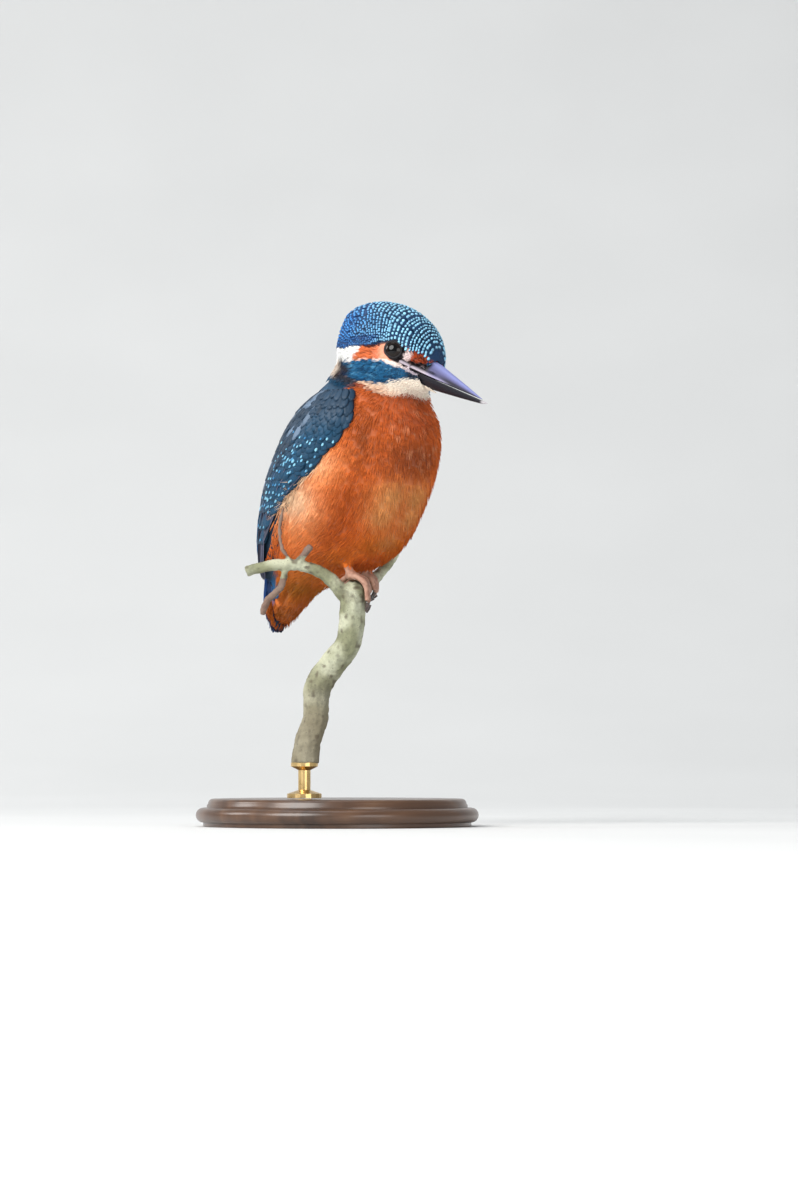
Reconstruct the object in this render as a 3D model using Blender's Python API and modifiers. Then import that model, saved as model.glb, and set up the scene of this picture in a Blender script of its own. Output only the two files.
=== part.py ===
"""A young common kingfisher at life size, perched on a cut length of branch over a plain display stand.

The bird faces -Y with its right side towards -X, and the origin is the middle of the base's underside.
Distances below are in millimetres unless a name ends in _deg, and MM turns them into metres.
A bird point is given as (forward, up, right) of the foot point, the top of the perch between the feet.
"""
import math

import bmesh
import bpy
from mathutils import Matrix, Vector

MM = 0.001
GAP = 0.3                      # clearance between pieces that touch
WELD = 0.002                   # points closer than this are one

# ---- driving dimensions -------------------------------------------------
FOOT_LEVEL = 80.0              # perch top above the floor
FOOT_FORWARD = 9.0             # foot point ahead of the base's middle
FOOT_RIGHT = -4.0              # foot point to the bird's right of the base's middle

BILL_LENGTH = 27.0             # exposed ridge of the upper bill
BILL_WIDTH = 8.6               # across the gape
BILL_DEPTH = 9.0               # at the feather line
BILL_BACK = 3.6                # where its hidden root ends, forward of the head's middle
BILL_WAIST = 0.84              # width of the bill where the feathers start, as a share of the gape's
BILL_ROOT = 2.35               # width of the hidden root, as a share of the gape's
BILL_WIDTH_TAPER = 0.86        # powers of the taper to the tip
BILL_DEPTH_TAPER = 0.88
RIDGE_TAPER = 0.9
RIDGE_LEVEL = 1.6              # height of the ridge at the feather line, and its drop to the tip
RIDGE_DROP = 3.6
ROOT_RISE = 0.6                # the root is lower on top and shallower in all
ROOT_SHALLOWER = 1.2
MOUTH_SHARE = 0.58             # how far down the bill its sides are widest
SIDE_PINCH = 0.22              # narrowing of a section towards ridge and keel
BILL_TIP_UP = -2.9
MOUTH_BACK_UP = -4.3           # the mouth's line under the head's middle; it ends at the tip
MOUTH_FRONT = 38.0
EYE_RADIUS = 4.1
EYE_SPACING = 17.0             # between the two eyeballs' middles
EYE_SET = (-0.9, -1.3)         # eyeballs forward of and above the head's own middle
HEAD_YAW_deg = -4.0            # turned to the bird's right where positive
HEAD_PITCH_deg = 23.2          # bill down
HEAD_ROLL_deg = 14.0           # right cheek raised where positive
EYES_AT = (24.1, 70.9, -0.1)   # the head's own middle, which its rings and the eyes are set from
NAPE_CUT = ((9.0, 61.5), (0.30, 0.95))      # head and neck part here: (forward, up) and normal
NECK_CUT = ((4.0, 53.5), (0.24, 0.97))      # neck and trunk part here

WING_THICK = 3.2
WING_CROWN = 1.25              # rise of the wing's outer face, in thicknesses
WING_EDGE = 0.6                # depth of its edges in the body, and of its inner face
WING_BACK = 2.2
FULLNESS = 0.05                # squareness of the trunk's sections
TAIL_HALF_WIDTH = 7.5
TAIL_THICK = 1.8
TAIL_LINE = ((-40.4, 3.0), (-43.4, -15.8))  # root and tip of the tail plate: (forward, up)
TAIL_ROUND_FROM = -3.0         # height where the tail starts to narrow
TAIL_NARROWING = (1.7, 0.8)    # powers of its rounded end
TAIL_CROWN = 0.9               # rise of its middle over its sides

PERCH_TURN_deg = 35.0          # the branch under the feet, turned forward on the bird's right
FOOT_SPACING = 13.0            # between the feet, along the branch
FEET_MIDDLE = (-1.7, 1.9)      # (forward, right) of the branch's axis between the feet
TOE_RADIUS = 1.1
TOE_SPREAD = 2.1               # between neighbouring toes at the root
TARSUS_RADIUS = 1.5
TOE_TAPER = (1.12, 0.84)       # share of the toe's radius at its root and tip
KNUCKLES = 0.10                # swelling of its joints
CLAW_LENGTH = 3.4
CLAW_RADIUS = 0.72
CLAW_TAPER = 0.78              # share of its thickness that a claw loses to the tip
CLAW_CLEAR = 0.25              # between claw and bark
HEEL_RADIUS = 1.9
HEEL_AT = (-0.5, 1.7, 0.3)     # forward, above the bark and right of the branch's axis
KNEE_AT = (-4.0, 9.5, 0.6)     # the leg's top in the belly, in the same way; outwards, not right
TARSUS_RINGS = (1.5, 1.35, 1.15, 1.0, 1.0, 1.1)   # share of its radius from the knee to the heel

BASE_RADIUS = 46.0             # to the outside of the bead round the base
BASE_THICK = 9.0
PLINTH_HIGH = 1.3              # the foot of the base, under the bead
BEAD_RADIUS = 2.4
FILLET_SET = 3.6               # the step over the bead
FILLET_HIGH = 6.9
ROUND_SET = 4.0                # the rounded top edge
ROUND_RADIUS = 1.6
BASE_SIDES = 34
ROD_RADIUS = 2.0
ROD_SIDES = 20
ROD_CAP = (4.4, 1.2, 2.4)      # radius, edge and height of the flange under the branch
ROD_FOOT = (5.6, 1.4, 2.6)     # the same of the flange on the base
ROD_AT = (-8.2, 18.8)          # (forward, right) of the rod
ROD_TOP = 21.0                 # height above the floor where the branch is cut

# Trunk rings, from the neck to the tail coverts: the back point and the belly point as
# (forward, up), then half the width.
TRUNK_RINGS = (
    ((-4.0, 74.0), (24.0, 65.0), 12.5),
    ((-12.2, 63.5), (23.5, 56.5), 15.8),
    ((-21.3, 53.5), (26.2, 49.5), 19.8),
    ((-27.6, 43.5), (26.0, 41.0), 21.6),
    ((-32.4, 32.0), (22.6, 31.5), 22.2),
    ((-36.4, 20.5), (17.4, 21.0), 20.8),
    ((-39.2, 11.0), (11.2, 10.8), 17.6),
    ((-41.6, 3.5), (-0.5, 4.0), 12.4),
    ((-42.9, -3.0), (-24.5, -1.8), 7.4),
    ((-43.3, -8.5), (-32.5, -7.8), 5.4),
    ((-43.5, -12.5), (-39.0, -12.8), 3.4),
)
# Head rings along the head's own axis: forward of its middle, crown height, throat depth, half
# the width, and the height at which the head is widest.
HEAD_RINGS = (
    (10.6, 2.0, -8.0, 4.0, -3.0),
    (8.5, 5.2, -9.5, 6.0, -2.5),
    (5.0, 8.6, -11.0, 8.9, -2.0),
    (0.0, 11.4, -13.0, 11.6, -1.5),
    (-7.0, 13.2, -15.5, 14.0, -2.0),
    (-14.0, 13.2, -17.0, 14.4, -1.5),
    (-21.0, 11.2, -17.0, 12.8, 0.0),
    (-26.5, 7.4, -12.0, 9.0, 1.5),
    (-29.0, 3.6, -4.0, 3.6, 1.0),
)
# Wing rings from the shoulder to the tip: how far round the body from the breast in degrees
# at the front edge, the height of that edge, then the same of the back edge.
WING_RINGS = (
    (66.0, 60.5, 118.0, 60.5),
    (58.0, 52.5, 132.0, 57.0),
    (64.0, 46.0, 142.0, 51.0),
    (75.0, 38.0, 146.0, 43.0),
    (87.0, 29.5, 150.0, 33.0),
    (98.0, 20.5, 154.0, 23.5),
    (106.0, 11.5, 158.0, 14.0),
    (122.0, 4.5, 162.0, 6.0),
    (138.0, 1.5, 160.0, 2.0),
)
# The branch, as (forward, up, right, radius): from its cut end up to the knee under the right
# foot, then on under the left foot to its tip.
STEM = (
    (-8.2, -61.0, 18.8, 4.7),
    (-7.6, -53.3, 18.1, 4.4),
    (-5.8, -45.0, 16.2, 4.3),
    (-5.6, -36.7, 15.9, 4.5),
    (-4.3, -31.9, 14.5, 4.6),
    (-0.6, -25.0, 10.6, 4.4),
    (1.6, -19.6, 8.0, 4.3),
    (2.2, -11.7, 7.4, 4.3),
    (2.5, -7.0, 7.2, 4.3),
    (1.9, -4.4, 6.6, 4.1),
    (-1.7, -3.4, 1.9, 3.7),
    (-5.4, -2.4, -3.4, 3.4),
    (-8.0, -0.8, -8.5, 2.6),
    (-8.2, 2.8, -13.6, 1.8),
    (-7.0, 7.4, -18.2, 1.3),
    (-6.2, 11.4, -20.4, 0.9),
)
STEM_MIDDLE = 10               # the row between the feet
# Side twigs, in the same way, each from inside the piece that it grows from.
TWIGS = (
    (
        (1.8, -7.0, 7.8, 2.6),
        (-0.9, -2.4, 11.4, 2.4),
        (-4.2, 1.6, 13.8, 2.1),
        (-8.9, 4.5, 20.4, 2.0),
        (-15.1, 4.2, 28.0, 1.9),
        (-20.1, 2.3, 33.5, 1.8),
    ),
    ((-10.6, 3.4, 22.6, 1.4), (-7.4, 6.8, 20.8, 1.2), (-4.8, 10.6, 18.9, 1.2)),
    ((-9.4, 3.6, 21.2, 0.9), (-11.4, 9.4, 25.4, 0.75), (-12.0, 16.4, 26.2, 0.65), (-11.0, 23.0, 25.4, 0.5)),
    ((-11.6, 4.0, 23.8, 1.2), (-12.6, -2.6, 25.0, 1.1), (-15.4, -7.0, 28.4, 1.25), (-16.6, -11.6, 29.6, 0.8)),
)
SIDES = 28                     # points round a body ring
SMALL_SIDES = 12               # points round a ring of the bill or tail
BILL_STEPS = 11
TAIL_STEPS = 12
TOE_STEPS = 7
CLAW_STEPS = 5
WING_ACROSS = 7                # points across the wing
BODY_STEPS = 3                 # rings made between the given ones
FINE_STEPS = 8
EYE_SIDES = (14, 9)
HEEL_SIDES = (8, 6)
BODY_GRAIN = (1.3, 7, 0.077)   # voxel in millimetres, smoothing rounds, share of triangles kept
FOOT_GRAIN = (0.4, 2, 0.11)
TUBE_SMOOTHING = 2             # bevel resolution of a tube: eight sides
CLAW_SMOOTHING = 1
STEM_SMOOTHING = 3

COLOURS = {
    "crown": ((0.03, 0.16, 0.42), 0.5, 0.0),
    "breast": ((0.66, 0.18, 0.04), 0.8, 0.0),
    "neck": ((0.60, 0.20, 0.07), 0.8, 0.0),
    "wing": ((0.01, 0.13, 0.20), 0.5, 0.0),
    "tail": ((0.01, 0.06, 0.24), 0.5, 0.0),
    "bill": ((0.02, 0.02, 0.03), 0.35, 0.0),
    "eye": ((0.008, 0.006, 0.006), 0.05, 0.0),
    "foot": ((0.52, 0.16, 0.09), 0.5, 0.0),
    "claw": ((0.03, 0.02, 0.02), 0.4, 0.0),
    "bark": ((0.42, 0.42, 0.33), 0.85, 0.0),
    "stand": ((0.06, 0.05, 0.045), 0.5, 0.0),
    "rod": ((0.50, 0.38, 0.18), 0.3, 1.0),
}


# ---- frames of reference ------------------------------------------------
def bird(forward, up, right=0.0):
    """A point of the bird, in metres in the row frame."""
    return Vector((-(right + FOOT_RIGHT), -(forward + FOOT_FORWARD), up + FOOT_LEVEL)) * MM


def headTurn():
    """Columns are the head's right, back and up directions in the row frame."""
    yaw = Matrix.Rotation(math.radians(-HEAD_YAW_deg), 4, "Z")
    pitch = Matrix.Rotation(math.radians(HEAD_PITCH_deg), 4, "X")
    roll = Matrix.Rotation(math.radians(HEAD_ROLL_deg), 4, "Y")
    return yaw @ pitch @ roll


def onHead(forward, up, right=0.0):
    """A point of the head, forward of, above and right of the head's own middle."""
    local = Vector((-right, -forward, up)) * MM
    return bird(*EYES_AT) + headTurn() @ local


# ---- small tools --------------------------------------------------------
def clearScene():
    for thing in list(bpy.data.objects):
        bpy.data.objects.remove(thing)
    for group in list(bpy.data.collections):
        bpy.data.collections.remove(group)


def material(name):
    found = bpy.data.materials.get(name)
    if found:
        return found
    colour, rough, metal = COLOURS[name]
    made = bpy.data.materials.new(name)
    made.use_nodes = True
    shader = made.node_tree.nodes["Principled BSDF"]
    shader.inputs["Base Color"].default_value = (*colour, 1.0)
    shader.inputs["Roughness"].default_value = rough
    shader.inputs["Metallic"].default_value = metal
    return made


def newObject(name, bm, finish, group):
    mesh = bpy.data.meshes.new(name)
    bmesh.ops.recalc_face_normals(bm, faces=bm.faces[:])
    bm.to_mesh(mesh)
    bm.free()
    made = bpy.data.objects.new(name, mesh)
    group.objects.link(made)
    if finish:
        mesh.materials.append(material(finish))
    mesh.shade_smooth()
    return made


def lerp(a, b, t):
    return a + (b - a) * t


def smoothRows(rows, steps):
    """Catmull-Rom rows of numbers between the given rows, steps to each span."""
    flat = [[x for part in row for x in (part if isinstance(part, tuple) else (part,))] for row in rows]
    last = len(flat) - 1
    made = []
    for i in range(last):
        p0, p1, p2, p3 = (flat[min(max(i + k, 0), last)] for k in (-1, 0, 1, 2))
        for s in range(steps):
            t = s / steps
            made.append([
                0.5 * (2 * b + (c - a) * t + (2 * a - 5 * b + 4 * c - d) * t * t
                       + (3 * b - a - 3 * c + d) * t ** 3)
                for a, b, c, d in zip(p0, p1, p2, p3)
            ])
    made.append(flat[last])
    return made


def loft(rings, tips=(None, None)):
    """A closed bmesh through rings of equal length, each end capped by a fan to its tip."""
    bm = bmesh.new()
    rows = [[bm.verts.new(p) for p in ring] for ring in rings]
    count = len(rows[0])
    for lower, upper in zip(rows, rows[1:]):
        for i in range(count):
            j = (i + 1) % count
            bm.faces.new((lower[i], lower[j], upper[j], upper[i]))
    for row, tip in ((rows[0], tips[0]), (rows[-1], tips[1])):
        middle = sum((v.co for v in row), Vector()) / count
        pole = bm.verts.new(tip if tip is not None else middle)
        for i in range(count):
            bm.faces.new((row[i], row[(i + 1) % count], pole))
    return bm


def evaluatedCopy(obj, name, finish, group):
    """obj with its modifiers applied, as a new mesh object."""
    graph = bpy.context.evaluated_depsgraph_get()
    graph.update()
    mesh = bpy.data.meshes.new_from_object(obj.evaluated_get(graph))
    mesh.transform(obj.matrix_world)
    bm = bmesh.new()
    bm.from_mesh(mesh)
    bmesh.ops.remove_doubles(bm, verts=bm.verts[:], dist=WELD * MM)
    bpy.data.meshes.remove(mesh)
    return newObject(name, bm, finish, group)


def boolean(target, tool, operation):
    cut = target.modifiers.new(operation.lower(), "BOOLEAN")
    cut.operation = operation
    cut.object = tool
    cut.solver = "EXACT"


def helper(obj):
    obj.hide_render = True
    obj.display_type = "WIRE"
    return obj


def swollen(obj, by, name, group):
    """A helper copy of obj grown outwards by a distance in millimetres."""
    bm = bmesh.new()
    bm.from_mesh(obj.data)
    bm.normal_update()
    for v, n in [(v, v.normal.copy()) for v in bm.verts]:
        v.co += n * by * MM
    return helper(newObject(name, bm, None, group))


def bisected(source, name, planes, finish, group):
    """source cut by planes given as (point, outward normal), each cut closed flat."""
    bm = bmesh.new()
    bm.from_mesh(source.data)
    for point, normal in planes:
        every = bm.verts[:] + bm.edges[:] + bm.faces[:]
        bmesh.ops.bisect_plane(bm, geom=every, dist=1e-7, plane_co=point, plane_no=normal, clear_outer=True)
        open_edges = [e for e in bm.edges if e.is_boundary]
        bmesh.ops.edgenet_fill(bm, edges=open_edges)
    bmesh.ops.triangulate(bm, faces=[f for f in bm.faces if len(f.verts) > 4])
    return newObject(name, bm, finish, group)


# ---- body ---------------------------------------------------------------
def trunkForm(group):
    rings = []
    for bf, bu, ff, fu, half in smoothRows(TRUNK_RINGS, BODY_STEPS):
        middle = Vector(((bf + ff) / 2, (bu + fu) / 2))
        reach = Vector(((ff - bf) / 2, (fu - bu) / 2))
        ring = []
        for i in range(SIDES):
            turn = 2 * math.pi * i / SIDES
            c, s = math.cos(turn), math.sin(turn)
            fuller = 1 + FULLNESS * math.sin(2 * turn) ** 2
            spot = middle + reach * c * fuller
            ring.append(bird(spot.x, spot.y, half * s * fuller))
        rings.append(ring)
    return newObject("form_trunk", loft(rings), None, group)


def headForm(group):
    rings = []
    for forward, crown, throat, half, wide in smoothRows(HEAD_RINGS, BODY_STEPS):
        ring = []
        for i in range(SIDES):
            turn = 2 * math.pi * i / SIDES
            c, s = math.cos(turn), math.sin(turn)
            rise = (crown - wide) * s if s > 0 else (wide - throat) * s
            ring.append(onHead(forward, wide + rise, half * c))
        rings.append(ring)
    return newObject("form_head", loft(rings), None, group)


def fused(pieces, name, grain, group):
    """Overlapping pieces run together into one smooth form, without a seam."""
    voxel, passes, keep = grain
    bm = bmesh.new()
    for piece in pieces:
        bm.from_mesh(piece.data)
        helper(piece)
    together = helper(newObject(name + "_pieces", bm, None, group))
    even = together.modifiers.new("even", "REMESH")
    even.mode = "VOXEL"
    even.voxel_size = voxel * MM
    soften = together.modifiers.new("soften", "SMOOTH")
    soften.factor = 0.5
    soften.iterations = passes
    thin = together.modifiers.new("thin", "DECIMATE")
    thin.ratio = keep
    return helper(evaluatedCopy(together, name, None, group))


# ---- bill ---------------------------------------------------------------
def billForm(group):
    """A dagger with a ridged top, deep in the head behind and pointed in front."""
    rings = []
    feather = HEAD_RINGS[0][0]                 # feather line on the ridge
    tip = feather + BILL_LENGTH
    for k in range(BILL_STEPS):
        forward = lerp(BILL_BACK, tip, k / BILL_STEPS)
        along = max(0.0, (forward - feather) / BILL_LENGTH)
        inside = max(0.0, (feather - forward) / (feather - BILL_BACK))
        taper = 1 - along
        half = BILL_WIDTH / 2 * lerp(BILL_WAIST, BILL_ROOT, inside) * taper ** BILL_WIDTH_TAPER
        fall = taper ** RIDGE_TAPER
        ridge = RIDGE_LEVEL * fall - RIDGE_DROP * (1 - fall) - ROOT_RISE * inside
        keel = ridge - (BILL_DEPTH - ROOT_SHALLOWER * inside) * taper ** BILL_DEPTH_TAPER
        mouth = lerp(ridge, keel, MOUTH_SHARE)
        ring = []
        for i in range(SMALL_SIDES):
            turn = 2 * math.pi * i / SMALL_SIDES
            c, s = math.cos(turn), math.sin(turn)
            side = half * c * (1 - SIDE_PINCH * abs(s))
            height = (ridge - mouth) * s if s > 0 else (mouth - keel) * s
            ring.append(onHead(forward, mouth + height, side))
        rings.append(ring)
    end = onHead(tip, BILL_TIP_UP, 0)
    return newObject("form_bill", loft(rings, (None, end)), None, group)


def mouthPlane():
    """Point and upward normal of the closed mouth's line, from the gape to the tip."""
    back, front = onHead(0, MOUTH_BACK_UP), onHead(MOUTH_FRONT, BILL_TIP_UP)
    right = onHead(0, 0, 1) - onHead(0, 0, 0)
    return back, right.cross(front - back).normalized()


# ---- wings --------------------------------------------------------------
def trunkPoint(turn_deg, up, outwards):
    """A point on the trunk's rings at a height, turned round from the breast to the right side."""
    rows = smoothRows(TRUNK_RINGS, FINE_STEPS)
    turn = math.radians(turn_deg)
    c, s = math.cos(turn), math.sin(turn)
    best = None
    for (b0, u0, f0, v0, h0), (b1, u1, f1, v1, h1) in zip(rows, rows[1:]):
        high = (u0 + v0) / 2 + (v0 - u0) / 2 * c
        low = (u1 + v1) / 2 + (v1 - u1) / 2 * c
        if low <= up <= high:
            t = (high - up) / (high - low)
            best = [lerp(x, y, t) for x, y in zip((b0, f0, h0), (b1, f1, h1))]
            break
    if best is None:
        best = (rows[-1][0], rows[-1][2], rows[-1][4]) if up < 0 else (rows[0][0], rows[0][2], rows[0][4])
    back, front, half = best
    reach = (front - back) / 2
    fuller = 1 + FULLNESS * math.sin(2 * turn) ** 2
    return Vector((
        (front + back) / 2 + (reach * fuller + outwards) * c,
        up,
        (half * fuller + outwards) * s,
    ))


def wingForm(side, group):
    """A folded wing as a curved plate over the flank, its inner face inside the body."""
    rings = []
    for a0, z0, a1, z1 in smoothRows(WING_RINGS, 2):
        outer, inner = [], []
        for i in range(WING_ACROSS):
            t = i / (WING_ACROSS - 1)
            crown = abs(math.sin(math.pi * t)) ** 0.5
            turn, up = lerp(a0, a1, t), lerp(z0, z1, t)
            top = trunkPoint(turn, up, WING_THICK * WING_CROWN * crown - WING_EDGE)
            low = trunkPoint(turn, up, -WING_BACK)
            outer.append(bird(top.x, top.y, top.z * side))
            inner.append(bird(low.x, low.y, low.z * side))
        rings.append(outer + inner[::-1])
    return newObject("form_wing", loft(rings), None, group)


# ---- tubes --------------------------------------------------------------
def tube(name, points, radii, finish, group, smoothing=TUBE_SMOOTHING):
    """A round tube through points in metres, with a radius in millimetres at each."""
    curve = bpy.data.curves.new(name, "CURVE")
    curve.dimensions = "3D"
    curve.bevel_depth = MM
    curve.bevel_resolution = smoothing
    curve.use_fill_caps = True
    line = curve.splines.new("POLY")
    line.points.add(len(points) - 1)
    for spot, point, radius in zip(line.points, points, radii):
        spot.co = (*point, 1.0)
        spot.radius = radius
    guide = bpy.data.objects.new(name + "_guide", curve)
    group.objects.link(guide)
    solid = evaluatedCopy(guide, name, finish, group)
    bpy.data.objects.remove(guide)
    return solid


def branchTube(name, rows, steps, group, smoothing=TUBE_SMOOTHING):
    smooth = smoothRows(rows, steps)
    points = [bird(forward, up, right) for forward, up, right, radius in smooth]
    return tube(name, points, [row[3] for row in smooth], None, group, smoothing)


def trimmed(source, tools, name, finish, group):
    """source with every tool cut away from it."""
    for tool in tools:
        boolean(source, tool, "DIFFERENCE")
    helper(source)
    return evaluatedCopy(source, name, finish, group)


# ---- tail ---------------------------------------------------------------
def tailForm(group):
    """Closed tail feathers as one plate with a rounded end, crowned across the back."""
    (f0, z0), (f1, z1) = TAIL_LINE
    bend, end = TAIL_NARROWING
    rings = []
    for k in range(TAIL_STEPS):
        t = k / TAIL_STEPS
        up = lerp(z0, z1, t)
        narrowing = max(0.0, (TAIL_ROUND_FROM - up) / (TAIL_ROUND_FROM - z1))
        half = TAIL_HALF_WIDTH * (1 - narrowing ** bend) ** end
        ring = []
        for i in range(SMALL_SIDES):
            turn = 2 * math.pi * i / SMALL_SIDES
            across = half * math.cos(turn)
            crown = TAIL_CROWN * (1 - (across / TAIL_HALF_WIDTH) ** 2)
            depth = TAIL_THICK / 2 * math.sin(turn)
            ring.append(bird(lerp(f0, f1, t) - crown + depth, up, across))
        rings.append(ring)
    return newObject("form_tail", loft(rings, (None, bird(f1 - TAIL_CROWN, z1))), None, group)


# ---- legs and feet ------------------------------------------------------
def perchAxis(along):
    """Centre of the branch and its radius, along its axis from between the feet to the right."""
    turn = math.radians(PERCH_TURN_deg)
    f = FEET_MIDDLE[0] + along * math.sin(turn)
    r = FEET_MIDDLE[1] + along * math.cos(turn)
    middle = STEM[STEM_MIDDLE]
    next_one = STEM[STEM_MIDDLE - 1] if along > 0 else STEM[STEM_MIDDLE + 1]
    t = abs(along) / (FOOT_SPACING / 2)
    return f, lerp(middle[1], next_one[1], t), r, lerp(middle[3], next_one[3], t)


def wrap(along, angle_deg, clear, straight):
    """A point clear of the branch's surface, round it from the front of the bird upwards.

    Where straight is true, what lies below the axis runs straight down the stem instead.
    """
    turn = math.radians(PERCH_TURN_deg)
    f, up, r, thick = perchAxis(along)
    reach = thick + GAP + clear
    angle = math.radians(angle_deg)
    if straight and -90 < angle_deg < 0:
        ahead, rise = reach, reach * angle
    else:
        ahead, rise = reach * math.cos(angle), reach * math.sin(angle)
    return bird(f + ahead * math.cos(turn), up + rise, r - ahead * math.sin(turn))


# Toes as: sideways place at the root in toe spreads, sideways place at the tip, and the angles
# round the branch where the toe starts and ends. The last one is the hind toe.
TOES = (
    (1.0, 1.35, 96.0, -26.0),
    (0.0, 0.15, 98.0, -36.0),
    (-1.0, -1.25, 96.0, -8.0),
    (-0.6, -1.5, 84.0, 188.0),
)


def heelPoint(along):
    f, up, r, thick = perchAxis(along)
    return bird(f + HEEL_AT[0], up + thick + HEEL_AT[1], r + HEEL_AT[2])


def footForm(side, name, group):
    """Three front toes that share a sole, a hind toe, and the four claws."""
    at = side * FOOT_SPACING / 2
    f, up, r, thick = perchAxis(at)
    straight = side > 0
    toes, claws = [], []
    for number, (root, tip, start, end) in enumerate(TOES):
        outward = side * TOE_SPREAD
        points, radii = [], []
        for k in range(TOE_STEPS):
            t = k / (TOE_STEPS - 1)
            knuckle = 1 + KNUCKLES * math.cos(t * math.pi * 4)
            place = at + outward * lerp(root * 0.55, tip, t ** 0.7)
            radius = TOE_RADIUS * knuckle * lerp(*TOE_TAPER, t)
            points.append(wrap(place, lerp(start, end, t), radius, straight))
            radii.append(radius)
        toes.append(tube(f"form_{name}_toe_{number}", points, radii, None, group))
        way = 1 if end > start else -1
        sweep = math.degrees(CLAW_LENGTH / (thick + TOE_RADIUS))
        gap = math.degrees(GAP / (thick + TOE_RADIUS))
        points, radii = [], []
        for k in range(CLAW_STEPS):
            t = k / (CLAW_STEPS - 1)
            radius = CLAW_RADIUS * (1 - CLAW_TAPER * t ** 1.3)
            lift = TOE_RADIUS * 0.9 * (1 - t) ** 1.4 - radius * (1 - t)
            clear = radius + CLAW_CLEAR + max(0.0, lift)
            points.append(wrap(at + outward * tip, end + way * (gap * 1.2 + sweep * t), clear, straight))
            radii.append(radius)
        claws.append(tube(f"form_{name}_claw_{number}", points, radii, None, group, CLAW_SMOOTHING))
    heel = bmesh.new()
    around, high = HEEL_SIDES
    bmesh.ops.create_uvsphere(heel, u_segments=around, v_segments=high, radius=HEEL_RADIUS * MM)
    bmesh.ops.translate(heel, verts=heel.verts[:], vec=heelPoint(at))
    toes.append(newObject(f"form_{name}_heel", heel, None, group))
    return toes, claws


def legForm(side, group):
    """The short bare tarsus, from inside the belly feathers down to the heel."""
    at = side * FOOT_SPACING / 2
    f, up, r, thick = perchAxis(at)
    top = bird(f + KNEE_AT[0], up + thick + KNEE_AT[1], r + side * KNEE_AT[2])
    last = len(TARSUS_RINGS) - 1
    points = [top.lerp(heelPoint(at), k / last) for k in range(last + 1)]
    radii = [TARSUS_RADIUS * share for share in TARSUS_RINGS]
    return tube("form_leg", points, radii, None, group)


# ---- perch and stand ----------------------------------------------------
def perchForm(group):
    """The cut branch with its knee, stub and side twigs, level where it meets the rod."""
    pieces = [branchTube("form_stem", STEM, 2, group, STEM_SMOOTHING)]
    pieces += [branchTube(f"form_twig_{k}", rows, 2, group) for k, rows in enumerate(TWIGS)]
    for twig in pieces[1:]:
        boolean(pieces[0], twig, "UNION")
    whole = evaluatedCopy(pieces[0], "form_perch_whole", None, group)
    for piece in pieces + [whole]:
        helper(piece)
    level = Vector((0, 0, ROD_TOP * MM))
    return helper(bisected(whole, "form_perch", [(level, Vector((0, 0, -1)))], None, group))


def turned(name, profile, sides, finish, group):
    """A profile of (radius, height) in millimetres, top to bottom, spun round the upright axis."""
    mesh = bpy.data.meshes.new(name)
    bm = bmesh.new()
    spots = [bm.verts.new((radius * MM, 0, height * MM)) for radius, height in profile]
    for one, two in zip(spots, spots[1:]):
        bm.edges.new((one, two))
    bm.to_mesh(mesh)
    bm.free()
    made = bpy.data.objects.new(name, mesh)
    group.objects.link(made)
    mesh.materials.append(material(finish))
    spun = made.modifiers.new("turned", "SCREW")
    spun.steps = sides
    spun.render_steps = sides
    spun.use_merge_vertices = True
    spun.merge_threshold = 0.00005
    return made


def arc(radius, height, reach, start_deg, end_deg, steps):
    """Profile points on an arc round (radius, height)."""
    turns = [math.radians(lerp(start_deg, end_deg, k / steps)) for k in range(steps + 1)]
    return [(radius + reach * math.cos(turn), height + reach * math.sin(turn)) for turn in turns]


def standBase(group):
    """A turned disc: a rounded top edge, a step, a bead and a plinth that stands in."""
    edge = BASE_RADIUS - ROUND_SET - ROUND_RADIUS
    bead = PLINTH_HIGH + BEAD_RADIUS
    profile = [(0.0, BASE_THICK)]
    profile += arc(edge, BASE_THICK - ROUND_RADIUS, ROUND_RADIUS, 90, 0, 2)
    profile += [(BASE_RADIUS - FILLET_SET, FILLET_HIGH), (BASE_RADIUS - FILLET_SET, bead + BEAD_RADIUS)]
    profile += arc(BASE_RADIUS - BEAD_RADIUS, bead, BEAD_RADIUS, 90, -90, 4)
    profile += [(BASE_RADIUS - BEAD_RADIUS, 0.0), (0.0, 0.0)]
    return turned("stand_base", profile, BASE_SIDES, "stand", group)


def standRod(group):
    """A turned rod with a flange on the base and a flange under the branch."""
    low, high = BASE_THICK + GAP, ROD_TOP - GAP
    cap, cap_edge, cap_high = ROD_CAP
    foot, foot_edge, foot_high = ROD_FOOT
    profile = (
        (0.0, high), (cap, high), (cap, high - cap_edge), (ROD_RADIUS, high - cap_high),
        (ROD_RADIUS, low + foot_high), (foot, low + foot_edge), (foot, low), (0.0, low),
    )
    made = turned("stand_rod", profile, ROD_SIDES, "rod", group)
    at = bird(ROD_AT[0], 0, ROD_AT[1])
    made.location = (at.x, at.y, 0)
    return made


# ---- assembly -----------------------------------------------------------
def planeFrom(cut, lowered=0.0):
    (forward, up), (nf, nu) = cut
    normal = bird(nf, nu, 0) - bird(0, 0, 0)
    normal.normalize()
    return bird(forward, up, 0) - normal * lowered * MM, normal


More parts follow.
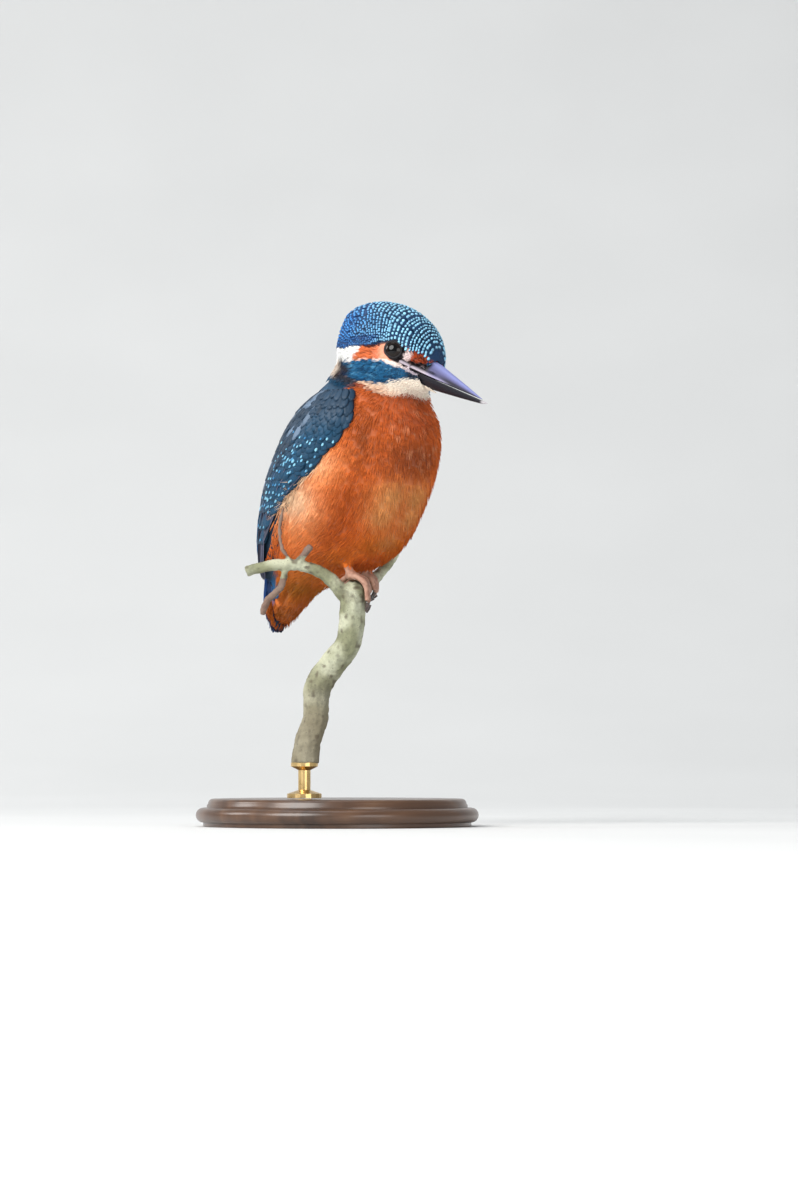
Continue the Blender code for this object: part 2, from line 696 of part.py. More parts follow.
def build():
    clearScene()
    parts = bpy.data.collections.new("kingfisher")
    tools = bpy.data.collections.new("cutters")
    bpy.context.scene.collection.children.link(parts)
    bpy.context.scene.collection.children.link(tools)

    whole = fused([trunkForm(tools), headForm(tools)], "form_body", BODY_GRAIN, tools)
    bill = helper(billForm(tools))
    tail = evaluatedCopy(helper(tailForm(tools)), "tail", "tail", parts)
    perch = evaluatedCopy(perchForm(tools), "perch", "bark", parts)
    round_body = swollen(whole, GAP, "clear_body", tools)
    round_perch = swollen(perch, GAP, "clear_perch", tools)

    eyes = []
    for side, name in ((1, "eye_right"), (-1, "eye_left")):
        bm = bmesh.new()
        around, high = EYE_SIDES
        bmesh.ops.create_uvsphere(bm, u_segments=around, v_segments=high, radius=EYE_RADIUS * MM)
        bmesh.ops.translate(bm, verts=bm.verts[:], vec=onHead(*EYE_SET, side * EYE_SPACING / 2))
        eyes.append(newObject(name, bm, "eye", parts))

    above_nape, nape = planeFrom(NAPE_CUT)
    below_nape = planeFrom(NAPE_CUT, GAP)[0]
    above_neck, neck = planeFrom(NECK_CUT)
    below_neck = planeFrom(NECK_CUT, GAP)[0]
    head = bisected(whole, "form_head_cut", [(above_nape, -nape)], None, tools)
    middle = bisected(whole, "neck", [(below_nape, nape), (above_neck, -neck)], "neck", parts)
    trunk = bisected(whole, "form_trunk_cut", [(below_neck, neck)], None, tools)
    sockets = [swollen(eye, GAP, "clear_" + eye.name, tools) for eye in eyes]
    trimmed(head, [swollen(bill, GAP, "clear_bill", tools)] + sockets, "head", "crown", parts)

    mouth, upwards = mouthPlane()
    bisected(bill, "bill_upper", [(mouth + upwards * GAP * MM / 2, -upwards)], "bill", parts)
    bisected(bill, "bill_lower", [(mouth - upwards * GAP * MM / 2, upwards)], "bill", parts)

    round_tail = swollen(tail, GAP, "clear_tail", tools)
    trunk_room = [round_tail]
    for side, hand in ((1, "right"), (-1, "left")):
        trimmed(wingForm(side, tools), [round_body, round_tail], "wing_" + hand, "wing", parts)
        toes, claws = footForm(side, hand, tools)
        foot = fused(toes, "form_foot_" + hand, FOOT_GRAIN, tools)
        foot = trimmed(foot, [round_perch], "foot_" + hand, "foot", parts)
        round_foot = swollen(foot, GAP, "clear_foot_" + hand, tools)
        leg = trimmed(legForm(side, tools), [round_foot], "leg_" + hand, "foot", parts)
        trunk_room += [round_foot, swollen(leg, GAP, "clear_leg_" + hand, tools)]
        for number, claw in enumerate(claws):
            trimmed(claw, [round_foot], f"claw_{hand}_{number + 1}", "claw", parts)
    trimmed(trunk, trunk_room, "trunk", "breast", parts)

    standBase(parts)
    standRod(parts)


build()
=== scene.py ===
import math

import bmesh
import bpy
import numpy as np
from mathutils import Matrix, Vector
from mathutils.bvhtree import BVHTree


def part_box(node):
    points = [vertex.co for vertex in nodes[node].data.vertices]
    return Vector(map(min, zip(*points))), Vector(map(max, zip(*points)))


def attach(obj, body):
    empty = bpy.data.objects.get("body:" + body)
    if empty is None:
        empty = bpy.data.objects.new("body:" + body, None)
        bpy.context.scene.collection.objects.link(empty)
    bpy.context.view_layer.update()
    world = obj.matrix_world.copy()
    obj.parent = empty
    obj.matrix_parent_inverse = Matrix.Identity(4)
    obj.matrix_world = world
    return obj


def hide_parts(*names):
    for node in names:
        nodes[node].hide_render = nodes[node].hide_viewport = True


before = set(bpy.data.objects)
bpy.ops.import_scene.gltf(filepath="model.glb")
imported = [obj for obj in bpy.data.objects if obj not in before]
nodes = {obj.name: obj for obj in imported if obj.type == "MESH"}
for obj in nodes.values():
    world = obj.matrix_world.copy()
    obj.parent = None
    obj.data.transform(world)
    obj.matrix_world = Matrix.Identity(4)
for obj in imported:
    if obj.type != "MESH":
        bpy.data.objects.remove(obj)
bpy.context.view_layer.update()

# A young kingfisher on a cut branch over a turned stand. Bird points are (forward, up, right) of the
# feet in mm, and head points are the same three seen from the head; only finished meshes are in metres.
mm = 0.001


# small maths
def unit(v):
    return v / np.maximum(np.linalg.norm(v, axis=-1, keepdims=True), 1e-9)


def smooth(x):
    x = np.clip(x, 0, 1)
    return x * x * (3 - 2 * x)


def mix(a, b, share):
    a, b, share = (np.asarray(x, float) for x in (a, b, share))
    return a + (b - a) * (share[..., None] if share.ndim else share)


def layered(base, *layers):  # tones laid over a base, each by its share
    for tone, share in layers:
        base = mix(base, tones[tone] if isinstance(tone, str) else tone, share)
    return base


def flattened(ways, normals):  # ways turned along the surface
    return unit(ways - normals * (ways * normals).sum(-1, keepdims=True))


def colour(red, green, blue):  # screen values, 0 to 255, to linear light
    c = np.array((red, green, blue), float) / 255
    return np.where(c > 0.04045, ((c + 0.055) / 1.055) ** 2.4, c / 12.92)


def grain(points, size, seed=0):  # soft noise from -1 to 1
    p = np.asarray(points, float) / size + seed * 17.3
    low = np.floor(p)
    share = smooth(p - low)
    total = 0
    for corner in np.ndindex(2, 2, 2):
        c = low + corner
        h = np.sin(c @ np.array((127.1, 311.7, 74.7))) * 43758.5453
        total = total + (h - np.floor(h)) * np.prod(np.where(np.array(corner) == 1, share, 1 - share), -1)
    return total * 2 - 1


# places
birdPlace = {"left": 4.0, "ahead": 9.0, "height": 80.0}  # where the feet are over the stand, mm


def toWorld(points):
    f, u, r = np.moveaxis(np.asarray(points, float), -1, 0)
    return np.stack((birdPlace["left"] - r, -birdPlace["ahead"] - f, birdPlace["height"] + u), -1) * mm


def toBird(points):
    x, y, z = np.moveaxis(np.asarray(points, float) / mm, -1, 0)
    return np.stack((-birdPlace["ahead"] - y, z - birdPlace["height"], birdPlace["left"] - x), -1)


def numbers(items, key, kind=np.float32, width=3):  # one property of every item, as rows
    flat = np.empty(len(items) * width, kind)
    items.foreach_get(key, flat)
    return flat.reshape(-1, width)


def birdPoints(mesh):
    return toBird(numbers(mesh.vertices, "co"))


def birdNormals(mesh):
    x, y, z = numbers(mesh.vertex_normals, "vector").astype(float).T
    return np.stack((-y, z, -x), -1)


def nodePoints(name):
    return birdPoints(nodes[name].data)


def nodeMiddle(name):
    low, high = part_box(name)
    return toBird(np.array((low + high) / 2))


def treeFrom(points, faces):
    return BVHTree.FromPolygons([Vector(p) for p in points], faces)


def nodeTree(name):
    return treeFrom(nodePoints(name), [tuple(p.vertices) for p in nodes[name].data.polygons])


def linked(name, data):
    made = bpy.data.objects.new(name, data)
    bpy.context.scene.collection.objects.link(made)
    return made


headSet = {"eyesForward": -0.9, "eyesUp": -1.3, "billDroop": math.radians(2.505)}


def headPlace():  # the head's own middle and its forward, up and right, from the eyes and the bill's tip
    right, left = nodeMiddle("eye_right"), nodeMiddle("eye_left")
    middle = (right + left) / 2
    side = unit(right - left)
    bill = nodePoints("bill_lower")
    tip = bill[np.linalg.norm(bill - middle, axis=1).argmax()]
    along = unit(tip - middle - side * ((tip - middle) @ side))
    above = np.cross(side, along)
    droop = headSet["billDroop"]
    forward = along * math.cos(droop) + above * math.sin(droop)
    up = above * math.cos(droop) - along * math.sin(droop)
    return middle - forward * headSet["eyesForward"] - up * headSet["eyesUp"], np.stack((forward, up, side))


headMiddle, headAxes = headPlace()


def toHead(points):
    return (np.asarray(points, float) - headMiddle) @ headAxes.T


def fromHead(points):
    return headMiddle + np.asarray(points, float) @ headAxes


# camera, light, floor
viewSet = {"azimuth": math.radians(-42), "elevation": math.radians(-2.5), "distance": 1.2,
           "frameHeight": 0.39, "aside": 11.05, "below": 6.5, "sensor": 36.0}


def makeCamera():
    a, e = viewSet["azimuth"], viewSet["elevation"]
    back = Vector((math.sin(a) * math.cos(e), -math.cos(a) * math.cos(e), math.sin(e)))
    right = Vector((math.cos(a), math.sin(a), 0))
    up = back.cross(right)
    data = bpy.data.cameras.new("camera")
    data.sensor_width = viewSet["sensor"]
    data.lens = viewSet["sensor"] * viewSet["distance"] / viewSet["frameHeight"]
    data.clip_start, data.clip_end = 0.01, 30
    camera = linked("camera", data)
    target = Vector(toWorld((0, 0, 0))) + (right * viewSet["aside"] - up * viewSet["below"]) * mm
    camera.matrix_world = Matrix.Translation(target + back * viewSet["distance"]) @ Matrix(
        (right, up, back)).transposed().to_4x4()
    bpy.context.scene.camera = camera


lampSet = {  # watts, side in metres, place, colour
    "key": (38.0, 1.3, (-1.6, -0.25, 1.05), (1.0, 0.98, 0.95)),
    "front": (8.0, 1.0, (-0.4, -1.7, 0.35), (1.0, 0.99, 0.97)),
    "rim": (9.0, 0.7, (-1.1, 1.2, 0.9), (1.0, 0.98, 0.96)),
    "top": (7.0, 1.2, (0.0, 0.2, 1.6), (0.96, 0.98, 1.0)),
}


def makeLamps():
    for name, (watts, side, place, tone) in lampSet.items():
        data = bpy.data.lights.new(name, "AREA")
        data.shape, data.size, data.energy, data.color = "DISK", side, watts, tone
        lamp = linked(name, data)
        lamp.location = place
        lamp.rotation_euler = (Vector(place) - Vector((0, 0, 0.1))).to_track_quat("Z", "Y").to_euler()
    world = bpy.data.worlds.new("studio")
    world.use_nodes = True
    sky = world.node_tree.nodes["Background"].inputs
    sky["Color"].default_value, sky["Strength"].default_value = (0.9, 0.92, 0.95, 1), 0.42
    bpy.context.scene.world = world
    bpy.context.scene.view_settings.view_transform = "Standard"


# materials
class Value:  # a number socket that can be used in sums
    def __init__(self, tree, socket):
        self.tree, self.socket = tree, socket

    def maths(self, operation, other):
        node = self.tree.nodes.new("ShaderNodeMath")
        node.operation = operation
        for place, item in zip(node.inputs, (self, other)):
            if isinstance(item, Value):
                self.tree.links.new(item.socket, place)
            else:
                place.default_value = item
        return Value(self.tree, node.outputs[0])

    def __add__(self, other):
        return self.maths("ADD", other)

    def __mul__(self, other):
        return self.maths("MULTIPLY", other)

    def above(self, edge, soft):  # 0 below the edge, 1 above it
        near = self.maths("SUBTRACT", edge).maths("DIVIDE", soft) + 0.5
        return near.maths("MAXIMUM", 0.0).maths("MINIMUM", 1.0)


class Finish:  # a material and its node tree
    def __init__(self, name, **sockets):
        self.material = bpy.data.materials.new(name)
        self.material.use_nodes = True
        self.tree = self.material.node_tree
        self.shader = self.tree.nodes["Principled BSDF"]
        for key, value in sockets.items():
            self.shader.inputs[key.replace("_", " ")].default_value = value

    def node(self, kind, settings=None, sockets=None):
        made = self.tree.nodes.new(kind)
        for key, value in (settings or {}).items():
            setattr(made, key, value)
        for key, value in (sockets or {}).items():
            if isinstance(value, (Value, bpy.types.NodeSocket)):
                self.tree.links.new(getattr(value, "socket", value), made.inputs[key])
            else:
                made.inputs[key].default_value = value
        return made

    def tint(self):
        return self.node("ShaderNodeAttribute", {"attribute_name": "tint"}).outputs["Color"]

    def mapped(self, scale):
        place = self.node("ShaderNodeTexCoord").outputs["Object"]
        return self.node("ShaderNodeMapping", None, {"Vector": place, "Scale": scale}).outputs[0]

    def noise(self, scale, detail=2.0, stretch=(1, 1, 1), rough=0.5):
        made = self.node("ShaderNodeTexNoise", None, {
            "Vector": self.mapped(stretch), "Scale": scale, "Detail": detail, "Roughness": rough})
        return Value(self.tree, made.outputs["Fac"])

    def ramp(self, share, *stops):
        made = self.node("ShaderNodeValToRGB", None, {"Fac": share})
        for i, (at, tone) in enumerate(stops):
            stop = made.color_ramp.elements[i] if i < 2 else made.color_ramp.elements.new(at)
            stop.position, stop.color = at, (*tone, 1)
        self.feed("Base Color", made.outputs[0])

    def blend(self, share, first, second, how="MIX"):
        made = self.node("ShaderNodeMix", {"data_type": "RGBA", "blend_type": how},
                         {0: share, 6: first, 7: second})
        return made.outputs[2]

    def feed(self, name, source):
        self.tree.links.new(getattr(source, "socket", source), self.shader.inputs[name])

    def shaded(self, shade):  # the mesh's colour times a grey
        grey = self.node("ShaderNodeCombineColor", None, {0: shade, 1: shade, 2: shade}).outputs[0]
        self.feed("Base Color", self.blend(1.0, self.tint(), grey, "MULTIPLY"))

    def bump(self, height, strength, distance):
        made = self.node("ShaderNodeBump", None, {
            "Height": height, "Strength": strength, "Distance": distance})
        self.feed("Normal", made.outputs[0])


def plumageFinish(name, roughness, shine, streak):  # colour from the mesh, fine barbs along each feather
    finish = Finish(name, Roughness=roughness, Specular_IOR_Level=shine)
    finish.shaded(finish.noise(2600, 1.0) * streak + (1 - streak * 0.5))
    return finish.material


# mesh helpers
def addPiece(name, mesh, material, replaced=(), tints=None):
    smoothFaces(mesh)
    if tints is not None:
        full = np.ones((len(tints), 4), np.float32)
        full[:, :3] = np.clip(tints, 0, 1)
        mesh.color_attributes.new("tint", "FLOAT_COLOR", "POINT").data.foreach_set("color", full.ravel())
    mesh.materials.clear()
    mesh.materials.append(material)
    piece = linked(name, mesh)
    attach(piece, "root")
    if replaced:
        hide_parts(*replaced)
    return piece


def meshFrom(form, name="form"):
    mesh = bpy.data.meshes.new(name)
    form.to_mesh(mesh)
    form.free()
    return mesh


def evaluated(holder):  # its mesh with the modifiers applied; the object goes
    bpy.context.view_layer.update()
    made = bpy.data.meshes.new_from_object(holder.evaluated_get(bpy.context.evaluated_depsgraph_get()))
    bpy.data.objects.remove(holder)
    return made


def mergedInto(target, name, swell=0.0):  # a CAD node's merged mesh, grown a little, joins a bmesh
    part = bmesh.new()
    part.from_mesh(nodes[name].data)
    bmesh.ops.remove_doubles(part, verts=part.verts, dist=0.01 * mm)
    part.normal_update()
    for v in part.verts:
        v.co += v.normal * swell * mm
    mesh = meshFrom(part)
    target.from_mesh(mesh)
    bpy.data.meshes.remove(mesh)


def remeshed(form, voxel, rounds):  # one even skin over a bmesh of closed shapes
    mesh = meshFrom(form)
    holder = linked("form", mesh)
    cover = holder.modifiers.new("cover", "REMESH")
    cover.mode, cover.voxel_size = "VOXEL", voxel * mm
    ease = holder.modifiers.new("ease", "SMOOTH")
    ease.factor, ease.iterations = 0.5, rounds
    made = evaluated(holder)
    bpy.data.meshes.remove(mesh)
    return made


def remeshedNode(name, swell, voxel, rounds):
    form = bmesh.new()
    mergedInto(form, name, swell)
    return remeshed(form, voxel, rounds)


def setPoints(mesh, points):  # from bird points
    mesh.vertices.foreach_set("co", np.asarray(toWorld(points), np.float32).ravel())
    mesh.update()


def smoothFaces(mesh):
    mesh.polygons.foreach_set("use_smooth", np.ones(len(mesh.polygons), bool))


# the coat's outer form
fleshNodes = ("head", "neck", "trunk", "tail", "wing_right", "wing_left",
              "leg_right", "leg_left", "foot_right", "foot_left")
formSet = {"voxel": 0.6, "swell": 0.25, "rounds": 4, "eyeFill": 3.95}


def makeForm():
    form = bmesh.new()
    for name in fleshNodes:
        mergedInto(form, name, formSet["swell"])
    for name in ("eye_right", "eye_left"):
        at = Vector(toWorld(nodeMiddle(name)))
        bmesh.ops.create_uvsphere(form, u_segments=32, v_segments=20, radius=formSet["eyeFill"] * mm,
                                  matrix=Matrix.Translation(at))
    return remeshed(form, formSet["voxel"], formSet["rounds"])


def partsOf(points):  # which flesh node each point is nearest to
    best = np.full(len(points), 1e9)
    found = np.zeros(len(points), int)
    for i, name in enumerate(fleshNodes):
        tree = nodeTree(name)
        corners = toBird(np.array(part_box(name)))
        near = np.all((points > corners.min(0) - 2) & (points < corners.max(0) + 2), axis=1)
        for k in np.nonzero(near)[0]:
            gap = tree.find_nearest(Vector(points[k]), 2.5)[3]
            if gap is not None and gap < best[k]:
                best[k], found[k] = gap, i
    return found


def roundTail(mesh):  # the tail's end is rounded and a little narrower than its root
    points = birdPoints(mesh)
    _, up, right = points.T.copy()
    points[:, 1] = up + 3.6 * (np.minimum(np.abs(right) / 7.5, 1) ** 2) * smooth((-9 - up) / 6)
    points[:, 2] = right * (1 - 0.24 * smooth((-7 - up) / 8))
    setPoints(mesh, points)


print("coat form")
formMesh = makeForm()
roundTail(formMesh)
formPoints, formNormals = birdPoints(formMesh), birdNormals(formMesh)
formMesh.calc_loop_triangles()
formTris = numbers(formMesh.loop_triangles, "vertices", np.int32)
formTree = treeFrom(formPoints, formTris.tolist())
formParts = partsOf(formPoints)
print("form", len(formPoints), "points")
partIndex = {name: i for i, name in enumerate(fleshNodes)}

# where things are on the bird
neckPlane = {"at": (9.0, 61.5), "way": (0.30, 0.95)}  # forward, up: the head is past it


def pastNeck(points):  # mm above the plane between head and neck
    return ((points[:, 0] - neckPlane["at"][0]) * neckPlane["way"][0]
            + (points[:, 1] - neckPlane["at"][1]) * neckPlane["way"][1])


trunkAxis = {"up": (-16, -8, 4, 11, 20.5, 32, 43.5, 53.5, 63.5, 74),
             "forward": (-41.5, -38, -21, -14, -9.5, -4.9, -0.8, 2.4, 5.6, 10)}


def axisForward(up):
    return np.interp(up, trunkAxis["up"], trunkAxis["forward"])


def turnOf(points):  # degrees round the trunk, 0 at the breast and 180 at the back
    return np.degrees(np.arctan2(np.abs(points[:, 2]), points[:, 0] - axisForward(points[:, 1])))


backEdge = {"up": (-20, -8, 5, 20, 45, 56, 64, 72), "turn": (95, 115, 140, 125, 105, 84, 76, 76)}


def plateOf(name):  # the tail plate's middle, as forward at a height
    solid = nodePoints(name)
    middle = solid[np.abs(solid[:, 2]) < 2]
    return np.poly1d(np.polyfit(middle[:, 1], middle[:, 0], 1))


tailPlate = plateOf("tail")


def backness(points):  # 1 on the blue back, 0 on the orange underside
    edge = np.interp(points[:, 1], backEdge["up"], backEdge["turn"])
    behind = smooth(tailPlate(points[:, 1]) - points[:, 0] + 0.3)
    low = smooth((-4 - points[:, 1]) / 4)
    return smooth((turnOf(points) - edge) / 6 + 0.5) * (1 - low) + behind * low


# colours of the plumage
tones = dict(
    crownDark=(20, 58, 96), crownPale=(140, 200, 232), crownRear=(48, 122, 196),
    crownMid=(86, 150, 202), crownSide=(22, 64, 122), ear=(226, 122, 74), earPale=(252, 176, 146),
    white=(255, 255, 253), malar=(44, 106, 150), malarDark=(22, 46, 82), malarPale=(96, 164, 204),
    lore=(184, 78, 42), loreDark=(22, 16, 20), fleck=(236, 216, 214), gape=(250, 232, 222),
    throat=(255, 243, 228), gapeGrey=(196, 184, 196), browShadow=(17, 22, 38), napeBeige=(206, 190, 176),
    throatLow=(232, 184, 148), breastTop=(166, 84, 56), breastMid=(176, 84, 48),
    breastBand=(146, 76, 46), breastPale=(236, 168, 126), breast=(222, 112, 50), flank=(255, 164, 96),
    flankHighlight=(255, 222, 186), foldShade=(134, 48, 3), bellyPale=(226, 168, 104), belly=(204, 116, 40),
    bellyLow=(186, 116, 48), undertail=(172, 108, 38), undertailTip=(150, 84, 30),
    napeBrown=(62, 54, 56), breastWingShadow=(100, 50, 32), mantle=(34, 72, 100), scapular=(33, 54, 74),
    rump=(64, 150, 235), covert=(17, 62, 90), covertSpot=(146, 212, 238), quill=(24, 34, 56),
    quillBlue=(20, 78, 116), quillRim=(52, 132, 190), scapularPaleAndRimLight=(128, 150, 176),
    quillEdge=(96, 98, 122), foot=(178, 138, 118), footDark=(112, 64, 50), lid=(22, 20, 24),
    tail=(24, 60, 116))
tones = {name: colour(*tone) for name, tone in tones.items()}

headLines = {  # down the side of the head: (forward, up) in head mm
    "crown": ((-29, -11), (-26, -8.4), (-24.3, -7.3), (-20.5, -7.6), (-16.8, -6.7), (-14.9, -5.6),
              (-10.7, -4.0), (-6.9, -2.6), (-4.2, -0.9), (-3.0, 0.2), (-1.2, 1.5), (1.8, 2.0), (4.2, 1.3),
              (5.5, 1.9), (7.7, 2.3), (9.7, 1.4), (11, 0.0)),
    "earLow": ((-27, -14), (-15, -10.4), (-12.1, -9.6), (-5.6, -7.0), (-2.1, -5.5), (1.9, -4.3),
               (5.1, -3.7), (8.2, -2.4), (10.2, -1.0)),
    "loral": ((-2, -4.6), (1.9, -3.6), (5.1, -3.3), (8.2, -2.0), (10.2, -0.6)),
    "malarTop": ((-27, -16), (-21, -13.1), (-15.8, -11.3), (-5.5, -7.3), (-1.9, -5.9), (1.8, -5.8),
                 (4.4, -5.5), (9.5, -5.4)),
    "malarLow": ((-27, -17), (-17.3, -15.9), (-11.1, -15.9), (-5.6, -14.5), (-1.8, -13.0), (1.0, -10.5),
                 (4.6, -8.6), (9.0, -6.4)),
    "throatLow": ((-6, -16.2), (-1.0, -15.9), (1.7, -15.9), (3.8, -13.3), (4.9, -11.9)),
}


def lineAt(name, forward):
    return np.interp(forward, *zip(*headLines[name]))


def over(name, forward, up, soft=0.7):  # 1 above that line, 0 below it
    return smooth((up - lineAt(name, forward)) / soft + 0.5)


def crownShare(h, soft=0.6):  # 1 on the blue crown and the strip of nape between the white patches
    drop = 13 * smooth((4.8 - np.abs(h[:, 2])) / 1.6) * smooth((-16 - h[:, 0]) / 4)
    return over("crown", h[:, 0], h[:, 1] + drop, soft)


def spot(points, middle, size):  # a soft round patch
    return np.exp(-(((points - np.array(middle)) / np.array(size)) ** 2).sum(-1))


bellyPatches = (  # middle and size in bird mm (the same on both sides), tone, strength
    ((24, 60, 0), (14, 8, 16), "breastTop", 0.9),
    ((25, 49, 0), (9, 6, 13), "breastMid", 0.8),
    ((23, 37, 0), (8, 6.5, 13), "breastBand", 0.9),
    # painted shade on the side of the breast along the wing's front edge
    ((17, 44, 17), (6, 9, 5), "breastWingShadow", 0.5),
    ((17, 55, 15), (6, 8, 6), "breastWingShadow", 0.2),
    ((8, 36.5, 21), (6, 5, 4), "flank", 0.35),
    ((2, 34, 22), (8, 6, 6), "flank", 0.95),
    ((-9, 22, 20.5), (11, 9, 6), "flank", 1.0),
    ((-16, 14, 18), (9, 7, 6), "flank", 0.6),
    # painted highlight on the bulge of the flank
    ((-12, 24, 22.5), (9, 7, 4), "flankHighlight", 0.95),
    ((2, 35.5, 22.5), (6, 4, 3), "flankHighlight", 0.4),
    # painted shade in the fold between the flank and the belly
    ((14, 31, 17), (5, 9, 6), "foldShade", 0.25),
    ((9.5, 22, 17), (6, 9, 6), "foldShade", 0.5),
    ((2, 13, 16.5), (8, 7.5, 7), "foldShade", 0.6),
    ((18, 25, 5), (6, 5, 7), "bellyPale", 0.8),
    ((14.5, 18, 6), (5, 4.5, 6), "bellyPale", 0.7),
    ((9, 9.5, 4), (6, 4.5, 7), "belly", 0.75),
    ((-3, 6, 10), (8, 4.5, 6), "belly", 0.6),
    ((11, 11, 0), (4, 4, 3.5), "bellyPale", 0.5),
    ((-20, 2, 8), (9, 5, 8), "bellyLow", 0.7),
    ((-29, -3, 5), (7, 6, 8), "undertail", 0.9),
    ((-39, -10, 3), (7, 6, 8), "undertailTip", 0.9),
)


def underside(points):  # orange, brown and buff of the breast, flanks and belly
    folded = points * np.array((1, 1, 0)) + np.abs(points) * np.array((0, 0, 1))
    out = tones["breast"]
    for middle, size, tone, strength in bellyPatches:
        out = mix(out, tones[tone], spot(folded, middle, size) * strength)
    streaks = grain(points * np.array((1, 0.3, 1)), 1.1, 5) * 0.6 + grain(points, 3.4, 7) * 0.5
    out = out * (1 + (0.07 + 0.08 * smooth((points[:, 1] - 30) / 8)) * streaks)[:, None]
    band = spot(folded, (24, 43, 0), (12, 13, 17))
    flecks = smooth(grain(points * np.array((1, 0.7, 1)), 0.85, 15) * 2.6 - 0.9)
    out = mix(out, tones["breastPale"], flecks * band * 0.55)
    return out


def malarTones(h, forward, up, below):
    barbs = grain(h * (0.35, 1, 1), 0.7, 21)
    malar = layered(tones["malar"], ("malarPale", smooth(barbs * 1.8 - 0.3) * 0.7),
                    ("malarDark", smooth(-barbs * 1.6 - 0.2) * 0.7),
                    ("napeBrown", smooth((-13.5 - forward) / 2.5) * smooth((-12 - up) / 1.5) * 0.9))
    edge = smooth(1 - np.abs(up - lineAt("malarLow", forward)) / 1.5) * smooth((-forward + 2) / 6)
    return (malar, below), ("malarDark", below * edge * 0.85), (
        "loreDark", below * smooth((forward - 4.6) / 2.4) * 0.85)


def faceTones(points, h, ragged):
    forward, up, side = h[:, 0], h[:, 1] + ragged * 0.35, np.abs(h[:, 2])
    malarLow = over("malarLow", forward + 3.5 * (h[:, 2] < 0), up)
    ear = mix(tones["ear"], tones["earPale"], smooth((forward + 8) / 8))
    ear = ear * (1 + 0.12 * grain(h * (0.4, 1, 1), 0.8, 22))[:, None]
    whiteness = smooth((-12.6 - forward + (up + 7.5) * 0.7 + ragged * 0.5) / 0.9 + 0.5)
    behindEar = smooth((-13.4 - forward) / 1.2 + 0.5)
    neckSide = smooth((-19.2 - forward + ragged * 0.6) / 1.6 + 0.5)
    neckSide = neckSide * (1 - over("malarTop", forward, up - 0.8))
    beige = mix(tones["napeBeige"], tones["napeBrown"],
                smooth((forward + 22.5) / 3 + grain(points, 1.1, 33) * 0.5))
    lore = smooth((forward - 4.4) / 0.8 + 0.5) * over("loral", forward, up, 0.5)
    streaks = smooth(grain(h * (0.6, 1, 1), 0.9, 8) * 2)
    dark = smooth(1.3 - np.abs(up - lineAt("loral", forward)) / 0.8) * smooth((forward - 0.3) / 1.5)
    crown = crownShare(np.stack((forward, up, side), -1))
    ring = smooth((3.45 - np.hypot(forward - 0.85, (up + 1.0) / 0.95)) / 0.5 + 0.5) * (side > 4)
    below = np.hypot((forward - 3.2) / 2.4, (up + 3.3 - (forward - 3.2) * 0.25) / 0.85)
    below = smooth(1.6 - below) * (side > 4)
    # a dark band along the crown's lower edge over the eye: painted shadow under the brow
    browShadow = smooth(1.2 - np.abs(up - lineAt("crown", forward) + 0.3) / 0.75) * smooth((forward + 13) / 4)
    return layered(
        tones["throat"], ("throatLow", smooth((-11.5 - up) / 4) * 0.75),
        ("breastTop", 1 - over("throatLow", forward, up, 1.2)),
        (mix(tones["napeBrown"], tones["mantle"], 0.25), smooth((-8 - forward) / 3) * (1 - malarLow)),
        *malarTones(h, forward, up, malarLow),
        (mix(tones["gape"], tones["gapeGrey"], smooth((forward - 2.5) / 5)),
         over("malarTop", forward, up, 0.5)),
        (ear, over("earLow", forward, up, 0.6) * (1 - whiteness)),
        ("white", np.maximum(whiteness, behindEar) * over("malarTop", forward, up)), (beige, neckSide),
        (mix(tones["lore"], tones["loreDark"], streaks * 0.7), lore), ("loreDark", dark),
        ("loreDark", np.maximum(ring, below) * (1 - crown * 0.5)),
        ("fleck", smooth(1.7 - np.hypot((forward - 4.7) / 1.0, (up + 0.9) / 1.8) * 1.1) * (side > 5)),
        (mix(tones["crownDark"], tones["crownSide"], smooth((-10 - forward) / 9) * 0.8), crown),
        ("browShadow", browShadow * smooth((3.6 - forward) / 1.5) * 0.92))


def markings(points):  # the plumage's colour at bird points
    ragged = grain(points, 1.3, 3)
    middle = smooth(1 - np.abs(points[:, 2]) / 9)
    dorsal = mix(tones["mantle"], tones["rump"], middle * smooth((62 - points[:, 1]) / 20))
    head = smooth((pastNeck(points) + ragged * 0.6) / 1.5 + 0.5)
    return layered(underside(points), (dorsal, backness(points)),
                   (faceTones(points, toHead(points), ragged), head))


# the lie and depth of the coat
lieDown = {"up": (-20, -8, 3, 12, 25, 50, 70), "forward": (-0.30, -0.75, -0.97, -0.85, -0.55, -0.30, -0.35),
           "down": (0.95, 0.65, 0.25, 0.52, 0.85, 0.95, 0.93)}


crownLie = {"forward": (-22, -19, -15, -9, -5, -1, 3), "tilt": (85, 65, 48, 37, 30, 20, 18)}


def lieAt(points, normals):  # which way the feathers point, along the surface
    up = points[:, 1]
    belly = np.stack((np.interp(up, lieDown["up"], lieDown["forward"]),
                      -np.interp(up, lieDown["up"], lieDown["down"]), np.zeros(len(up))), -1)
    body = mix(belly, (-0.32, -0.95, 0.0), smooth((turnOf(points) - 85) / 35))
    h = toHead(points)
    low = smooth((-h[:, 1] - 3) / 8)
    tilt = np.radians(np.interp(h[:, 0], crownLie["forward"], crownLie["tilt"]))
    way = layered((-1.0, -0.05, 0.0), ((-0.85, -0.55, 0.0), low),
                  ((-0.3, -0.95, 0.0), smooth((h[:, 0] - 2) / 5) * low),
                  ((-0.35, -0.93, 0.0), smooth((-h[:, 0] - 11) / 10)),
                  (np.stack((-np.cos(tilt), -np.sin(tilt), tilt * 0), -1), crownShare(h)))
    return flattened(mix(body, way @ headAxes, smooth(pastNeck(points) / 5 + 0.5)), normals)


